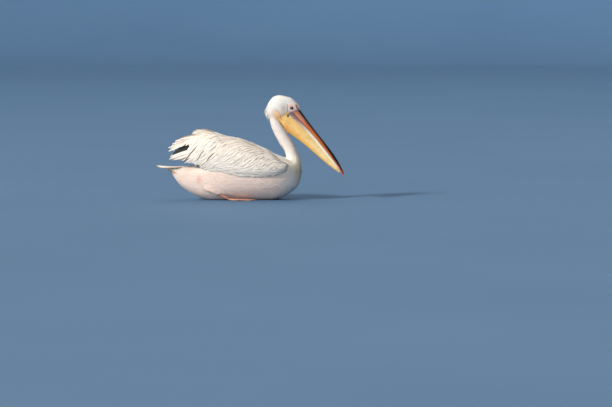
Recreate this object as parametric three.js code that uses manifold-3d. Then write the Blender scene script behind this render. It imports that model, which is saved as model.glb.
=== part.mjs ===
// Great white pelican, adult, resting afloat with the wings loosely folded and the bill pointing down and forward.
// Life size. Millimetres, +Z up, +X towards the bill, +Y the bird's left. The belly and feet stand on z = 0.
import * as THREE from "three";
import { mergeVertices } from "three/addons/utils/BufferGeometryUtils.js";
import Module from "manifold-3d";

const wasm = await Module();
wasm.setup();
const { Manifold, Mesh } = wasm;

// ---------------------------------------------------------------- driving dimensions
const GAP = 0.4; // between neighbouring pieces
const CENTRE_X = -2.3; // moves the model so that its box is centred on the origin
const EYE = { x: 214, z: 476.5, y: 25.5, r: 9 }; // centre of an eyeball and its radius
const WING_TURN = 115; // degrees of a wing's section, from the middle of the back round to its lower edge
const WING_FULLNESS = 0.86; // under 1 gives the wing fuller shoulders
const VALLEY_WIDTH = 34; // half width of the dip between the two raised wings
const SHELL_MM = 11; // thickness of the wing where it stands free of the trunk
const SHELL_END_X = -322; // where the wing's closed surface gives way to single long feathers

// Stations along +X, each [x, value].
// trunk: back line, level of the greatest width, belly line, half width
const TRUNK_TOP = [[-430, 171], [-400, 173], [-340, 174.5], [-300, 176], [-268, 182], [-240, 202], [-212, 244], [-185, 274], [-150, 292], [-110, 301], [-60, 301], [0, 287], [65, 263], [127, 239], [175, 221], [215, 209], [242, 199], [257, 187], [265, 172], [268, 152]];
const TRUNK_MID = [[-430, 167], [-400, 158], [-370, 142], [-300, 128], [-200, 126], [-60, 128], [80, 130], [180, 136], [240, 146], [268, 151]];
const TRUNK_LOW = [[-430, 160], [-416, 141], [-400, 118], [-385, 96], [-366, 73], [-340, 52], [-310, 32], [-272, 13], [-235, 1], [-200, -4], [-60, -5], [110, -4], [150, 5], [182, 18], [214, 38], [239, 60], [256, 84], [264, 112], [268, 150]];
const TRUNK_HALF = [[-430, 30], [-400, 47], [-370, 58], [-320, 75], [-270, 92], [-220, 106], [-170, 117], [-110, 126], [-40, 130], [40, 129], [110, 121], [160, 111], [200, 97], [230, 79], [250, 57], [262, 34], [268, 0]];
// wing: top line, lower edge, half width
const WING_TOP = [[-440, 246], [-418, 264], [-390, 286], [-350, 309], [-310, 332], [-270, 349], [-235, 358], [-190, 356], [-150, 345], [-110, 333], [-60, 321], [0, 299], [65, 271], [127, 246], [170, 230], [206, 217]];
const WING_LOW = [[-440, 216], [-400, 209], [-350, 202], [-300, 197], [-262, 191], [-230, 183], [-205, 176], [-170, 168], [-130, 154], [-90, 142], [-45, 135], [50, 130], [125, 133], [160, 140], [186, 156], [206, 182]];
const WING_HALF = [[-440, 52], [-400, 70], [-350, 89], [-300, 106], [-250, 120], [-200, 132], [-140, 142], [-70, 149], [0, 151], [60, 149], [120, 141], [160, 130], [186, 117], [206, 98]];
const VALLEY = [[-440, 10], [-380, 24], [-300, 34], [-230, 32], [-160, 18], [-80, 6], [0, 0], [205, 0]];
// neck: centre x, centre z, half depth in the plane of the bird, half width across
const NECK = [[130, 455, 32, 33], [130.5, 425, 33.5, 32.5], [136.5, 396, 33.5, 31.5], [151.5, 357, 33, 31], [174, 314, 32.5, 31.5], [199, 273, 33, 33], [215.5, 233, 36.5, 37], [223, 194, 43, 50], [216, 160, 50, 66]];
// head: crown line, jaw line, half width
const HEAD_TOP = [[80, 462], [84, 481], [93, 502], [108, 523], [127, 537.5], [148, 542.5], [174, 539], [190, 535], [205, 531], [221, 523], [237, 510], [252, 495], [262, 479]];
const HEAD_LOW = [[80, 450], [88, 430], [104, 412], [130, 402], [165, 408], [195, 428], [222, 441], [245, 452], [262, 464]];
const HEAD_HALF = [[80, 6], [84, 16], [93, 26], [108, 33.5], [130, 38], [155, 39], [185, 35.5], [214, 30.5], [240, 25], [255, 19], [262, 10]];

// bill: a straight culmen from its base to the tip, and the tomium below it
const CULMEN = { base: [246, 482], tip: [484, 138] };
const BILL_DEPTH = [[0, 44], [0.06, 39.5], [0.12, 35.5], [0.2, 31], [0.3, 26], [0.5, 20.5], [0.7, 19], [0.8, 17], [0.88, 13.5], [1, 8]]; // upper mandible, at right angles to the culmen
const BILL_BOW = 11; // how far the culmen stands out beyond the straight line from base to tip
const BILL_HALF = [[0, 23], [0.12, 21.5], [0.3, 19], [0.5, 17], [0.75, 16], [0.9, 16.5], [0.96, 13.5], [1, 7]];
const RAMUS_DEPTH = [[0, 19], [0.12, 18], [0.3, 15.5], [0.5, 14], [0.8, 12], [1, 6]];
const POUCH_DEPTH = [[0, 150], [0.1, 136], [0.19, 120], [0.3, 102], [0.4, 89], [0.5, 78], [0.6, 67.5], [0.7, 57], [0.8, 45], [0.9, 31], [0.98, 18], [1, 13]]; // the keel, below the culmen
const POUCH_HALF = [[0, 32.5], [0.1, 31], [0.3, 26], [0.5, 21.5], [0.75, 17], [0.92, 13], [1, 7]];
const NAIL = { length: 24, half: 8, hook: 7 };

// tail: a rounded fan of flight feathers
const TAIL = { rootX: -372, tipX: -486, rootHalf: 50, tipHalf: 66, z: 168.5, rise: 7, feathers: 9, thick: 10 };

// leg and foot, for the left side
const LEG = { hip: [-212, 74, 112], ankle: [-224, 98, 70], ball: [-108, 93, 9], r: [15, 10.5, 6.2] };
const TOES = [[[20, 75], 4.6], [[29, 101], 4.8], [[12, 125], 4.4], [[-62, 133], 3.8]]; // tip [x, y] and radius at the base
const WEB_MM = 3.2;

// ---------------------------------------------------------------- colours
const paint = (color, roughness, metalness = 0) => new THREE.MeshStandardMaterial({ color, roughness, metalness });
const PLUMAGE = paint(0xefeae0, 0.9);
const WING_WHITE = paint(0xe8e5da, 0.88);
const FLIGHT_BLACK = paint(0x17151a, 0.7);
const FACE_SKIN = paint(0xe6b9a4, 0.6);
const POUCH_SKIN = paint(0xf0bd5a, 0.5);
const BILL_HORN = paint(0x8f8590, 0.42);
const NAIL_HORN = paint(0xc2491c, 0.35);
const LEG_SKIN = paint(0xdf9a72, 0.6);
const EYE_DARK = paint(0x1a0b08, 0.1);

// ---------------------------------------------------------------- helpers
// A smooth curve through stations that never overshoots them (monotone cubic).
function through(stations) {
  const n = stations.length, h = [], d = [], m = [];
  for (let i = 0; i < n - 1; i++) {
    h.push(stations[i + 1][0] - stations[i][0]);
    d.push((stations[i + 1][1] - stations[i][1]) / h[i]);
  }
  m.push(d[0]);
  for (let i = 1; i < n - 1; i++) {
    if (d[i - 1] * d[i] <= 0) m.push(0);
    else {
      const a = 2 * h[i] + h[i - 1], b = h[i] + 2 * h[i - 1];
      m.push((a + b) / (a / d[i - 1] + b / d[i]));
    }
  }
  m.push(d[n - 2]);
  return (x) => {
    if (x <= stations[0][0]) return stations[0][1];
    if (x >= stations[n - 1][0]) return stations[n - 1][1];
    let i = 0;
    while (x > stations[i + 1][0]) i++;
    const t = (x - stations[i][0]) / h[i], t2 = t * t, t3 = t2 * t;
    return (2 * t3 - 3 * t2 + 1) * stations[i][1] + (t3 - 2 * t2 + t) * h[i] * m[i] + (3 * t2 - 2 * t3) * stations[i + 1][1] + (t3 - t2) * h[i] * m[i + 1];
  };
}
const lerp = (a, b, t) => a + (b - a) * t;
const smooth = (a, b, x) => { const t = Math.min(1, Math.max(0, (x - a) / (b - a))); return t * t * (3 - 2 * t); };
const spow = (v, e) => Math.sign(v) * Math.abs(v) ** e;

// A closed three.js geometry as a solid, whichever way its mapping turned it.
function solid(geometry) {
  const g = geometry.clone();
  for (const name of ["normal", "uv"]) g.deleteAttribute(name);
  const merged = mergeVertices(g, 1e-3);
  const vertProperties = new Float32Array(merged.attributes.position.array);
  const tri = [];
  const index = merged.index.array;
  for (let i = 0; i < index.length; i += 3)
    if (index[i] !== index[i + 1] && index[i + 1] !== index[i + 2] && index[i] !== index[i + 2]) tri.push(index[i], index[i + 1], index[i + 2]);
  let volume = 0;
  const p = (k) => new THREE.Vector3().fromArray(vertProperties, 3 * k);
  for (let i = 0; i < tri.length; i += 3) volume += p(tri[i]).dot(p(tri[i + 1]).cross(p(tri[i + 2])));
  if (volume < 0) for (let i = 0; i < tri.length; i += 3) [tri[i + 1], tri[i + 2]] = [tri[i + 2], tri[i + 1]];
  return new Manifold(new Mesh({ numProp: 3, vertProperties, triVerts: new Uint32Array(tri) }));
}

// A cylinder's surface, closed at both ends, moved to at(s, a): s runs from 0 to 1 along it, a from 0 to 2 pi round it.
// ends(s) is the point that closes it at s = 0 and s = 1. spread moves the rings, so that they gather where the form turns.
function lofted(rings, sides, at, ends, spread = (s) => s) {
  const g = new THREE.CylinderGeometry(1, 1, 1, sides, rings, false);
  const p = g.attributes.position;
  for (let i = 0; i < p.count; i++) {
    const s = spread(0.5 - p.getY(i)), r = Math.hypot(p.getX(i), p.getZ(i));
    const q = r < 0.5 ? ends(s) : at(s, Math.atan2(p.getX(i), p.getZ(i)));
    p.setXYZ(i, q[0], q[1], q[2]);
  }
  return solid(g);
}
const gather = (s) => 0.5 - 0.5 * Math.cos(Math.PI * s); // rings close together at both ends
const mirrored = (s) => s.mirror([0, 1, 0]);
const box = (x0, x1, y0, y1, z0, z1) => {
  const g = new THREE.BoxGeometry(x1 - x0, y1 - y0, z1 - z0);
  g.translate((x0 + x1) / 2, (y0 + y1) / 2, (z0 + z1) / 2);
  return solid(g);
};

const FLOOR = box(-600, 600, -300, 300, -60, 0);
const RIGHT_HALF = box(-600, 600, -300, GAP / 2, -100, 900);

// ---------------------------------------------------------------- trunk
const trunkTop = through(TRUNK_TOP), trunkMid = through(TRUNK_MID), trunkLow = through(TRUNK_LOW), trunkHalf = through(TRUNK_HALF);
function trunkPoint(x, a, grow = 0) {
  const w = trunkHalf(x) + grow, mid = trunkMid(x);
  const c = Math.cos(a), s = Math.sin(a);
  if (s >= 0) return [x, w * spow(c, 0.9), mid + (trunkTop(x) + grow - mid) * spow(s, 0.95)];
  return [x, w * spow(c, 0.84), mid + (mid - trunkLow(x) + grow) * spow(s, 0.84)];
}
function trunkSolid(grow = 0, rings = 24, sides = 22) {
  const x0 = TRUNK_HALF[0][0] - grow, x1 = 268 + grow;
  const at = (s) => lerp(x0 + 0.5, x1 - 1.2, s);
  return lofted(rings, sides, (s, a) => {
    const x = at(s), q = trunkPoint(Math.min(267, Math.max(-430, x)), a, grow);
    return [x, q[1], q[2]];
  }, (s) => [s < 0.5 ? x0 : x1, 0, s < 0.5 ? 167 : 151], (s) => 0.25 * s + 0.75 * (s < 0.5 ? s : gather(s)));
}

// ---------------------------------------------------------------- neck and head
function neckAt(s) {
  const k = s * (NECK.length - 1), i = Math.min(NECK.length - 2, Math.floor(k));
  const col = (j) => through(NECK.map((row, n) => [n, row[j]]))(k);
  const e = 0.02, col2 = (j, kk) => through(NECK.map((row, n) => [n, row[j]]))(kk);
  const k0 = Math.max(0, k - e), k1 = Math.min(NECK.length - 1, k + e);
  const d = new THREE.Vector2(col2(0, k1) - col2(0, k0), col2(1, k1) - col2(1, k0)).normalize();
  return { x: col(0), z: col(1), depth: col(2), half: col(3), dir: d, i };
}
function neckSolid(grow = 0, rings = 11, sides = 14) {
  return lofted(rings, sides, (s, a) => {
    const n = neckAt(s), c = Math.cos(a), t = Math.sin(a);
    return [n.x + (n.depth + grow) * t * -n.dir.y, (n.half + grow) * c, n.z + (n.depth + grow) * t * n.dir.x];
  }, (s) => { const n = neckAt(s); return [n.x, 0, n.z]; });
}
const headTop = through(HEAD_TOP), headLow = through(HEAD_LOW), headHalf = through(HEAD_HALF);
function headPoint(x, a, grow = 0) {
  const mid = lerp(headLow(x), headTop(x), 0.5), w = headHalf(x) + grow, c = Math.cos(a), s = Math.sin(a);
  return [x, w * spow(c, 0.9), mid + (s >= 0 ? headTop(x) - mid + grow : mid - headLow(x) + grow) * spow(s, 0.92)];
}
function headSolid(grow = 0, rings = 13, sides = 16) {
  return lofted(rings, sides, (s, a) => headPoint(lerp(79.5, 261, s), a, grow), (s) => [s < 0.5 ? 77.5 - grow : 263 + grow, 0, s < 0.5 ? 456 : 471], gather);
}

// The crest: short loose plumes at the nape, [from x, z, to x, z, half width, thickness].
const CREST = [[95, 474, 63, 437, 9, 8], [97, 457, 76, 408, 9, 8], [100, 486, 71, 451, 9, 8]];
function plume(x0, z0, x1, z1, half, thick, grow = 0) {
  return lofted(4, 6, (s, a) => {
    const r = Math.sqrt(Math.max(0.03, 1 - s ** 2.2)), dx = x1 - x0, dz = z1 - z0, L = Math.hypot(dx, dz);
    const t = (half * r + grow) * Math.sin(a);
    return [lerp(x0, x1, s) - 7 * Math.sin(Math.PI * s) * 0.7 - (dz / L) * t * 0.5, (thick * r + grow) * Math.cos(a), lerp(z0, z1, s) + (dx / L) * t * 0.5];
  }, (s) => [lerp(x0, x1, s), 0, lerp(z0, z1, s)]);
}

// ---------------------------------------------------------------- bill
const culmenDir = new THREE.Vector2(CULMEN.tip[0] - CULMEN.base[0], CULMEN.tip[1] - CULMEN.base[1]);
const BILL_LENGTH = culmenDir.length();
culmenDir.normalize();
const under = new THREE.Vector2(culmenDir.y, -culmenDir.x); // at right angles to the culmen, towards the throat
const billDepth = through(BILL_DEPTH), billHalf = through(BILL_HALF), ramusDepth = through(RAMUS_DEPTH), pouchDepth = through(POUCH_DEPTH), pouchHalf = through(POUCH_HALF);
// A point of the bill: s along the culmen, y across, d below the culmen.
const billPoint = (s, y, d) => [lerp(CULMEN.base[0], CULMEN.tip[0], s) + under.x * d, y, lerp(CULMEN.base[1], CULMEN.tip[1], s) + under.y * d];
const bow = (s) => -BILL_BOW * Math.sin(Math.PI * Math.min(1, Math.max(0, s)) ** 2.4); // greatest at three quarters
// Section of the upper mandible: a low ridge along the middle, sloping sides, flat palate.
function upperBill(grow = 0, rings = 11, sides = 12) {
  return lofted(rings, sides, (s, a) => {
    const h = billHalf(s) + grow, d = billDepth(s), c = Math.cos(a), t = Math.sin(a);
    const rise = (t >= 0 ? -d * 0.62 * spow(t, 1.15) : d * 0.38 * spow(-t, 0.6)) - grow * t;
    return billPoint(s, h * spow(c, 0.8), d * 0.62 + rise + bow(s));
  }, (s) => billPoint(s, 0, billDepth(s) * 0.6 + bow(s)), (s) => lerp(-grow / BILL_LENGTH, 0.985 + grow / BILL_LENGTH, s));
}
// One branch of the lower mandible, along the edge of the upper one, from the jaw's hinge to the tip.
const RAMUS_START = -0.07;
function ramusLine(s, side, grow) {
  const u = lerp(RAMUS_START - grow / BILL_LENGTH, 0.968 + grow / BILL_LENGTH, s), k = Math.max(0, u), back = Math.max(0, 0.06 - u);
  return { u, r: ramusDepth(k) / 2, y: side * Math.max(4.2, billHalf(k) - 3.2 + back * 30), d: billDepth(k) + bow(k) + 0.4 + ramusDepth(k) / 2 + back * 95 };
}
function ramus(side, grow = 0, rings = 9, sides = 8) {
  return lofted(rings, sides, (s, a) => {
    const { u, r, y, d } = ramusLine(s, side, grow);
    return billPoint(u, y + (3.6 + grow) * Math.cos(a), d + (r + grow) * Math.sin(a));
  }, (s) => { const { u, y, d } = ramusLine(s, side, grow); return billPoint(u, y, d); });
}
// The pouch hangs from the two branches: a keel that is widest at its top.
const POUCH_START = -0.15;
function pouchSolid(grow = 0, rings = 12, sides = 10) {
  const line = (s) => {
    const u = lerp(POUCH_START, 0.978, s), k = Math.max(0, u), back = Math.max(0, -u);
    return { u, top: billDepth(k) + bow(k) + 4 + back * 110, keel: pouchDepth(k) - back * 160, half: pouchHalf(k) - back * 30 };
  };
  return lofted(rings, sides, (s, a) => {
    const { u, top, keel, half } = line(s), c = Math.cos(a), t = Math.sin(a), v = 0.5 - 0.5 * t; // v is 0 at the top and 1 at the keel
    return billPoint(u, (half + grow) * spow(c, 0.9) * (1 - 0.38 * v * v), top + (keel - top) * v - grow * t);
  }, (s) => { const { u, top, keel } = line(s); return billPoint(u, 0, (top + keel) / 2); });
}
function nailSolid(grow = 0) {
  const L = NAIL.length;
  return lofted(7, 10, (s, a) => {
    const u = 1 + lerp(-L - grow, 3.5 + grow, s) / BILL_LENGTH, over = bow(Math.min(1, u)), r = Math.sqrt(Math.max(0.02, 1 - s ** 3));
    const c = Math.cos(a), t = Math.sin(a);
    return billPoint(u, (NAIL.half * (0.75 + 0.25 * Math.sin(Math.PI * s)) * r + grow) * c, over + 3.2 + NAIL.hook * s * s + (t > 0 ? -(4 + grow) * t : -(3.4 + 2.2 * s + grow) * t) * (0.6 + 0.4 * r));
  }, (s) => billPoint(1 + lerp(-L - grow, 3.5 + grow, s) / BILL_LENGTH, 0, bow(Math.min(1, 1 + lerp(-L - grow, 3.5 + grow, s) / BILL_LENGTH)) + 3.2 + NAIL.hook * s * s));
}

// ---------------------------------------------------------------- wings
const wingTop = through(WING_TOP), wingLow = through(WING_LOW), wingHalf = through(WING_HALF), valley = through(VALLEY);
const TURN = THREE.MathUtils.degToRad(WING_TURN);
// The wing's outer surface: x along the bird, th the angle from the middle of the back.
function wingSurface(x, th) {
  const top = wingTop(x), h = (top - wingLow(x)) / (1 - Math.cos(TURN)), y = wingHalf(x) * spow(Math.sin(th), WING_FULLNESS);
  const dip = valley(x) * (1 - smooth(0, VALLEY_WIDTH * 1.7, y)) * smooth(0.9, 0.2, th);
  return new THREE.Vector3(x, y, top - h * (1 - Math.cos(th)) - dip);
}
function wingPoint(x, th, out) {
  const p = wingSurface(x, th), t = Math.max(0.03, th), q = wingSurface(x, t);
  const du = wingSurface(x + 2, t).sub(wingSurface(x - 2, t)), dv = wingSurface(x, t + 0.02).sub(wingSurface(x, t - 0.02));
  const n = dv.cross(du).normalize();
  if (n.dot(new THREE.Vector3(0, q.y, q.z - 140)) < 0) n.negate();
  return [p.x + n.x * out, p.y + n.y * out, p.z + n.z * out];
}
// The angle at which the surface has height z at x.
const turnAt = (x, z) => {
  const top = wingTop(x), h = (top - wingLow(x)) / (1 - Math.cos(TURN));
  return Math.acos(Math.min(1, Math.max(-0.55, 1 - (top - z) / h)));
};
// The shell of the left wing: a box bent over the surface, thick where it lies on the trunk and thin where it stands free.
function wingShell(grow = 0) {
  const nx = 16, nt = 7;
  const g = new THREE.BoxGeometry(1, 1, 1, nx, nt, 1);
  const p = g.attributes.position;
  for (let i = 0; i < p.count; i++) {
    const s = p.getX(i) + 0.5, v = p.getY(i) + 0.5, inner = p.getZ(i) < 0;
    const x = lerp(SHELL_END_X, 202, 1 - (1 - s) ** 1.5);
    const start = smooth(60, 200, x) * 0.75;
    const round = Math.sqrt(Math.max(0, 1 - (Math.max(0, x - 176) / 26.5) ** 2)); // the bend of the wing is a round nose
    const th = lerp(lerp(start, 1.3, 0.85 * (1 - round)), lerp(TURN, 1.65, 0.85 * (1 - round)), v);
    const sink = 20 * smooth(85, 185, x) * (1 - smooth(0, 0.4, v)); // the inner edge dips into the shoulders beside the neck
    const edge = lerp(0.35, 0.9, smooth(-150, 20, x)) + lerp(0.65, 0.1, smooth(-150, 20, x)) * Math.sqrt(Math.sin(Math.PI * Math.min(1, Math.max(0, v * 0.94 + 0.03))));
    const deep = lerp(SHELL_MM, 46, smooth(-250, -150, x)) * edge;
    const free = lerp(1, 0.25, smooth(-290, SHELL_END_X, x));
    const out = inner ? -deep * free - 2 - grow : -14 * (1 - round) - sink;
    const q = wingPoint(x, th, out);
    p.setXYZ(i, q[0], q[1], q[2]);
  }
  return solid(g);
}
// One long feather lying along the wing, from (x, z) to (x, z) in side view, lift0 and lift1 above the surface at its ends.
function blade(x0, z0, x1, z1, width, lift0, lift1, thick, arch, grow = 0) {
  const g = new THREE.BoxGeometry(1, 1, 1, 4, 2, 1);
  const p = g.attributes.position;
  const d = new THREE.Vector2(x1 - x0, z1 - z0).normalize();
  for (let i = 0; i < p.count; i++) {
    const s = p.getX(i) + 0.5, v = p.getY(i) * 2, w = p.getZ(i) * 2;
    const half = grow + (width / 2) * Math.max(0.12, Math.min(1, 0.62 + s) * Math.sqrt(Math.max(0, 1 - Math.max(0, (s - 0.6) / 0.4) ** 3)));
    const x = lerp(x0, x1, s) - d.y * half * v, z = lerp(z0, z1, s) + arch * Math.sin(Math.PI * s);
    const xs = Math.max(-440, x), th = Math.max(0.42, turnAt(xs, z)), c = wingSurface(xs, th);
    const radius = wingSurface(xs, th + 0.05).distanceTo(wingSurface(xs, th - 0.05)) / 0.1;
    const q = wingPoint(xs, th - (d.x * half * v) / radius, lerp(lift0, lift1, s) + (grow + (thick / 2) * (1 - 0.45 * Math.abs(v)) * (1 - 0.4 * s)) * w);
    p.setXYZ(i, q[0] + (x - xs), q[1], q[2] + z - c.z);
  }
  return solid(g);
}
const SCAPULARS = [[-175, 350, -303, 361, 28, -4, 3, 5, 6], [-185, 342, -300, 348, 28, -5, 2, 4, 3]];
const TERTIALS = [[-215, 338, -396, 300, 20, -7, 0, 3.4, 6], [-205, 320, -431, 258, 42, -7, -1, 4, 14], [-200, 304, -430, 246, 34, -7, -1, 4, 12], [-215, 322, -408, 281, 42, -7, -1, 4, 8]];
const SECONDARIES = [[-225, 272, -426, 211, 28, -7, -1, 3.6, 8], [-205, 266, -408, 208, 32, -7, -2, 3.6, 4], [-195, 256, -390, 208, 28, -8, -3, 3.4, 4], [-185, 250, -345, 193, 32, -7, -1, 3.6, 4], [-165, 240, -308, 195, 28, -7, -1, 3.6, 2]];
const PRIMARIES = [[-250, 274, -414, 234, 32, -16, -10, 4, 8], [-250, 286, -404, 247, 28, -18, -12, 4, 8]];
const joined = (list) => list.reduce((a, b) => a.add(b));

// ---------------------------------------------------------------- tail
function tailSolid() {
  const shape = new THREE.Shape();
  const { rootX, tipX, rootHalf, tipHalf, feathers } = TAIL;
  shape.moveTo(rootX, -rootHalf);
  const pts = [];
  for (let i = 0; i <= feathers * 3; i++) {
    const t = i / (feathers * 3), a = lerp(-1, 1, t);
    const notch = i % 3 === 0 && i > 0 && i < feathers * 3 ? 7 : 0;
    pts.push([tipX + 26 * Math.abs(a) ** 2.2 + notch, tipHalf * a]);
  }
  for (const q of pts) shape.lineTo(q[0], q[1]);
  shape.lineTo(rootX, rootHalf);
  shape.closePath();
  const g = new THREE.ExtrudeGeometry(shape, { depth: 1, bevelEnabled: false, steps: 1 });
  const p = g.attributes.position;
  for (let i = 0; i < p.count; i++) {
    const x = p.getX(i), y = p.getY(i), top = p.getZ(i) > 0.5;
    const s = (rootX - x) / (rootX - tipX), thick = lerp(TAIL.thick, 1.6, s);
    p.setXYZ(i, x, y, TAIL.z + TAIL.rise * s * s - (y / tipHalf) ** 2 * 7 * s + (top ? thick / 2 : -thick / 2) - 1.5 * (1 - s));
  }
  return solid(g);
}

// ---------------------------------------------------------------- legs and feet
function tube(points, radii, sides = 9, rings = 6) {
  const c = new THREE.CatmullRomCurve3(points.map((q) => new THREE.Vector3(...q)), false, "catmullrom", 0.4);
  const r = through(radii.map((v, i) => [i / (radii.length - 1), v]));
  return lofted(rings, sides, (s, a) => {
    const q = c.getPoint(s), d = c.getTangent(s), y = new THREE.Vector3(0, 0, 1).cross(d).normalize(), n = d.clone().cross(y);
    return q.addScaledVector(y, r(s) * Math.cos(a)).addScaledVector(n, r(s) * Math.sin(a)).toArray();
  }, (s) => c.getPoint(s).toArray());
}
function legSolid(grow = 0) {
  const [hx, hy, hz] = LEG.hip, [ax, ay, az] = LEG.ankle, [bx, by, bz] = LEG.ball;
  return tube([[hx, hy, hz], [ax, ay, az], [lerp(ax, bx, 0.3), lerp(ay, by, 0.3), lerp(az, bz, 0.36)], [bx - 6, by, bz + 1]], [LEG.r[0], LEG.r[1], 7, LEG.r[2]].map((v) => v + grow), 8, 7).subtract(FLOOR);
}
function footSolid() {
  const [bx, by] = LEG.ball;
  const shape = new THREE.Shape([new THREE.Vector2(bx - 8, by - 4), ...TOES.map(([q]) => new THREE.Vector2(...q)), new THREE.Vector2(bx - 6, by + 6)]);
  const web = new THREE.Shape();
  web.moveTo(bx - 8, by - 5);
  let last = null;
  for (const [q] of TOES) {
    const tip = [lerp(bx, q[0], 0.94), lerp(by, q[1], 0.94)];
    if (!last) web.lineTo(...tip);
    else web.quadraticCurveTo(lerp((last[0] + tip[0]) / 2, bx, 0.16), lerp((last[1] + tip[1]) / 2, by, 0.16), ...tip);
    last = tip;
  }
  web.lineTo(bx - 8, by + 5);
  web.closePath();
  const sheet = solid(new THREE.ExtrudeGeometry(web, { depth: WEB_MM, bevelEnabled: false, curveSegments: 2 }));
  const toes = TOES.map(([q, r]) => {
    const L = Math.hypot(q[0] - bx, q[1] - by), ux = (q[0] - bx) / L, uy = (q[1] - by) / L;
    return tube([[bx, by, 5.4], [lerp(bx, q[0], 0.5), lerp(by, q[1], 0.5), r - 0.6], [q[0], q[1], 2.6], [q[0] + ux * 9, q[1] + uy * 9, 1.1]], [r + 1.4, r, r * 0.7, 0.8], 6, 3).subtract(FLOOR);
  });
  return joined([sheet, ...toes]);
}

// ---------------------------------------------------------------- the pieces, cut to meet their neighbours
const eye = (side, grow = 0) => {
  const g = new THREE.SphereGeometry(EYE.r + grow, 12, 7);
  g.rotateX(Math.PI / 2);
  g.translate(EYE.x, side * EYE.y, EYE.z);
  return solid(g);
};
const NECK_CUT = 206; // the neck meets the trunk at this height

const upper = upperBill();
const upperG = upperBill(GAP);
const rami = [ramus(1), ramus(-1)];
const ramiG = [ramus(1, GAP), ramus(-1, GAP)];
const nail = nailSolid(), nailG = nailSolid(GAP);
const above = (z) => box(-600, 600, -300, 300, z, 900);
const below = (z) => box(-600, 600, -300, 300, -300, z);

const headWhole = headSolid();
const headG = headSolid(GAP);
const neckG = neckSolid(GAP);
const trunkG = trunkSolid(GAP);
const bill = upper.subtract(nailG);
const head = headWhole.subtract(upperG).subtract(ramiG[0]).subtract(ramiG[1]).subtract(eye(1, GAP)).subtract(eye(-1, GAP));
const pouch = pouchSolid().subtract(upperG).subtract(ramiG[0]).subtract(ramiG[1]).subtract(headG).subtract(neckG).subtract(nailG);
const crest = joined(CREST.map((c) => plume(...c))).subtract(headG).subtract(neckG);
const neck = neckSolid().subtract(headG).subtract(trunkG).subtract(below(NECK_CUT)).subtract(ramiG[0]).subtract(ramiG[1]);
const trunk = joined([trunkSolid(), neckSolid().subtract(above(NECK_CUT - GAP))]).subtract(FLOOR);
const flight = joined(PRIMARIES.map((b) => blade(...b)));
// A cut leaves corners that lie almost on each other: bring them together on a fine grid and drop the faces that close up.
function tidy(m) {
  const got = m.getMesh(), at = (i, k) => got.vertProperties[i * got.numProp + k];
  for (const step of [0.03, 0.015, 0.008, 0.004]) {
    const seen = new Map(), points = [], to = [];
    for (let i = 0; i < got.numVert; i++) {
      const q = [0, 1, 2].map((k) => Math.round(at(i, k) / step) * step), key = q.map((v) => Math.round(v / step)).join();
      if (!seen.has(key)) { seen.set(key, points.length / 3); points.push(...q); }
      to.push(seen.get(key));
    }
    const faces = new Map();
    for (let i = 0; i < got.triVerts.length; i += 3) {
      const t = [0, 1, 2].map((k) => to[got.triVerts[i + k]]);
      if (t[0] === t[1] || t[1] === t[2] || t[0] === t[2]) continue;
      const key = [...t].sort((a, b) => a - b).join();
      if (faces.has(key)) faces.delete(key);
      else faces.set(key, t);
    }
    try {
      const made = new Manifold(new Mesh({ numProp: 3, vertProperties: new Float32Array(points), triVerts: new Uint32Array([...faces.values()].flat()) }));
      if (Math.abs(made.volume() / m.volume() - 1) < 0.01) return made;
    } catch { /* this grid is too coarse for the piece */ }
  }
  return m;
}
const biggest = (m) => m.decompose().sort((a, b) => b.volume() - a.volume())[0];

const bothSides = (left, ...cutters) => [left, mirrored(left)].map((m) => cutters.reduce((a, c) => a.subtract(c), m));
const wing = bothSides(joined([wingShell(), ...[...SCAPULARS, ...TERTIALS, ...SECONDARIES].map((b) => blade(...b))]).subtract(RIGHT_HALF), trunkG, neckG);
const primary = bothSides(flight.subtract(joined([wingShell(GAP), ...[...SCAPULARS, ...TERTIALS, ...SECONDARIES].map((b) => blade(...b, GAP))])), trunkG);
const tail = tailSolid().subtract(trunkG);
const leg = bothSides(legSolid(), trunkG);
const foot = bothSides(footSolid().subtract(legSolid(GAP)), trunkG);

// ---------------------------------------------------------------- the scene graph
const bird = new THREE.Group();
const put = (name, m, material, parent) => {
  const whole = biggest(tidy(biggest(m))), got = whole.getMesh(), v = new Float32Array(got.numVert * 3);
  for (let i = 0; i < got.numVert; i++) v.set(got.vertProperties.subarray(i * got.numProp, i * got.numProp + 3), 3 * i);
  const g = new THREE.BufferGeometry().setAttribute("position", new THREE.BufferAttribute(v, 3)).setIndex(new THREE.BufferAttribute(got.triVerts, 1));
  g.computeVertexNormals();
  const made = new THREE.Mesh(g, material);
  made.name = name;
  parent.add(made);
  return made;
};
const body = new THREE.Group(), headGroup = new THREE.Group(), wingGroup = new THREE.Group(), legGroup = new THREE.Group();
bird.add(body, headGroup, wingGroup, legGroup);
put("trunk", trunk, PLUMAGE, body);
put("neck", neck, PLUMAGE, body);
put("tail", tail, PLUMAGE, body);
put("head", head, FACE_SKIN, headGroup);
put("crest", crest, PLUMAGE, headGroup);
put("upper_bill", bill, BILL_HORN, headGroup);
put("bill_nail", nail, NAIL_HORN, headGroup);
put("lower_bill_left", rami[0].subtract(upperG).subtract(nailG), BILL_HORN, headGroup);
put("lower_bill_right", rami[1].subtract(upperG).subtract(nailG), BILL_HORN, headGroup);
put("throat_pouch", pouch, POUCH_SKIN, headGroup);
put("wing_left", wing[0], WING_WHITE, wingGroup);
put("wing_right", wing[1], WING_WHITE, wingGroup);
put("primaries_left", primary[0], FLIGHT_BLACK, wingGroup);
put("primaries_right", primary[1], FLIGHT_BLACK, wingGroup);
put("leg_left", leg[0], LEG_SKIN, legGroup);
put("leg_right", leg[1], LEG_SKIN, legGroup);
put("foot_left", foot[0], LEG_SKIN, legGroup);
put("foot_right", foot[1], LEG_SKIN, legGroup);
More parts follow.
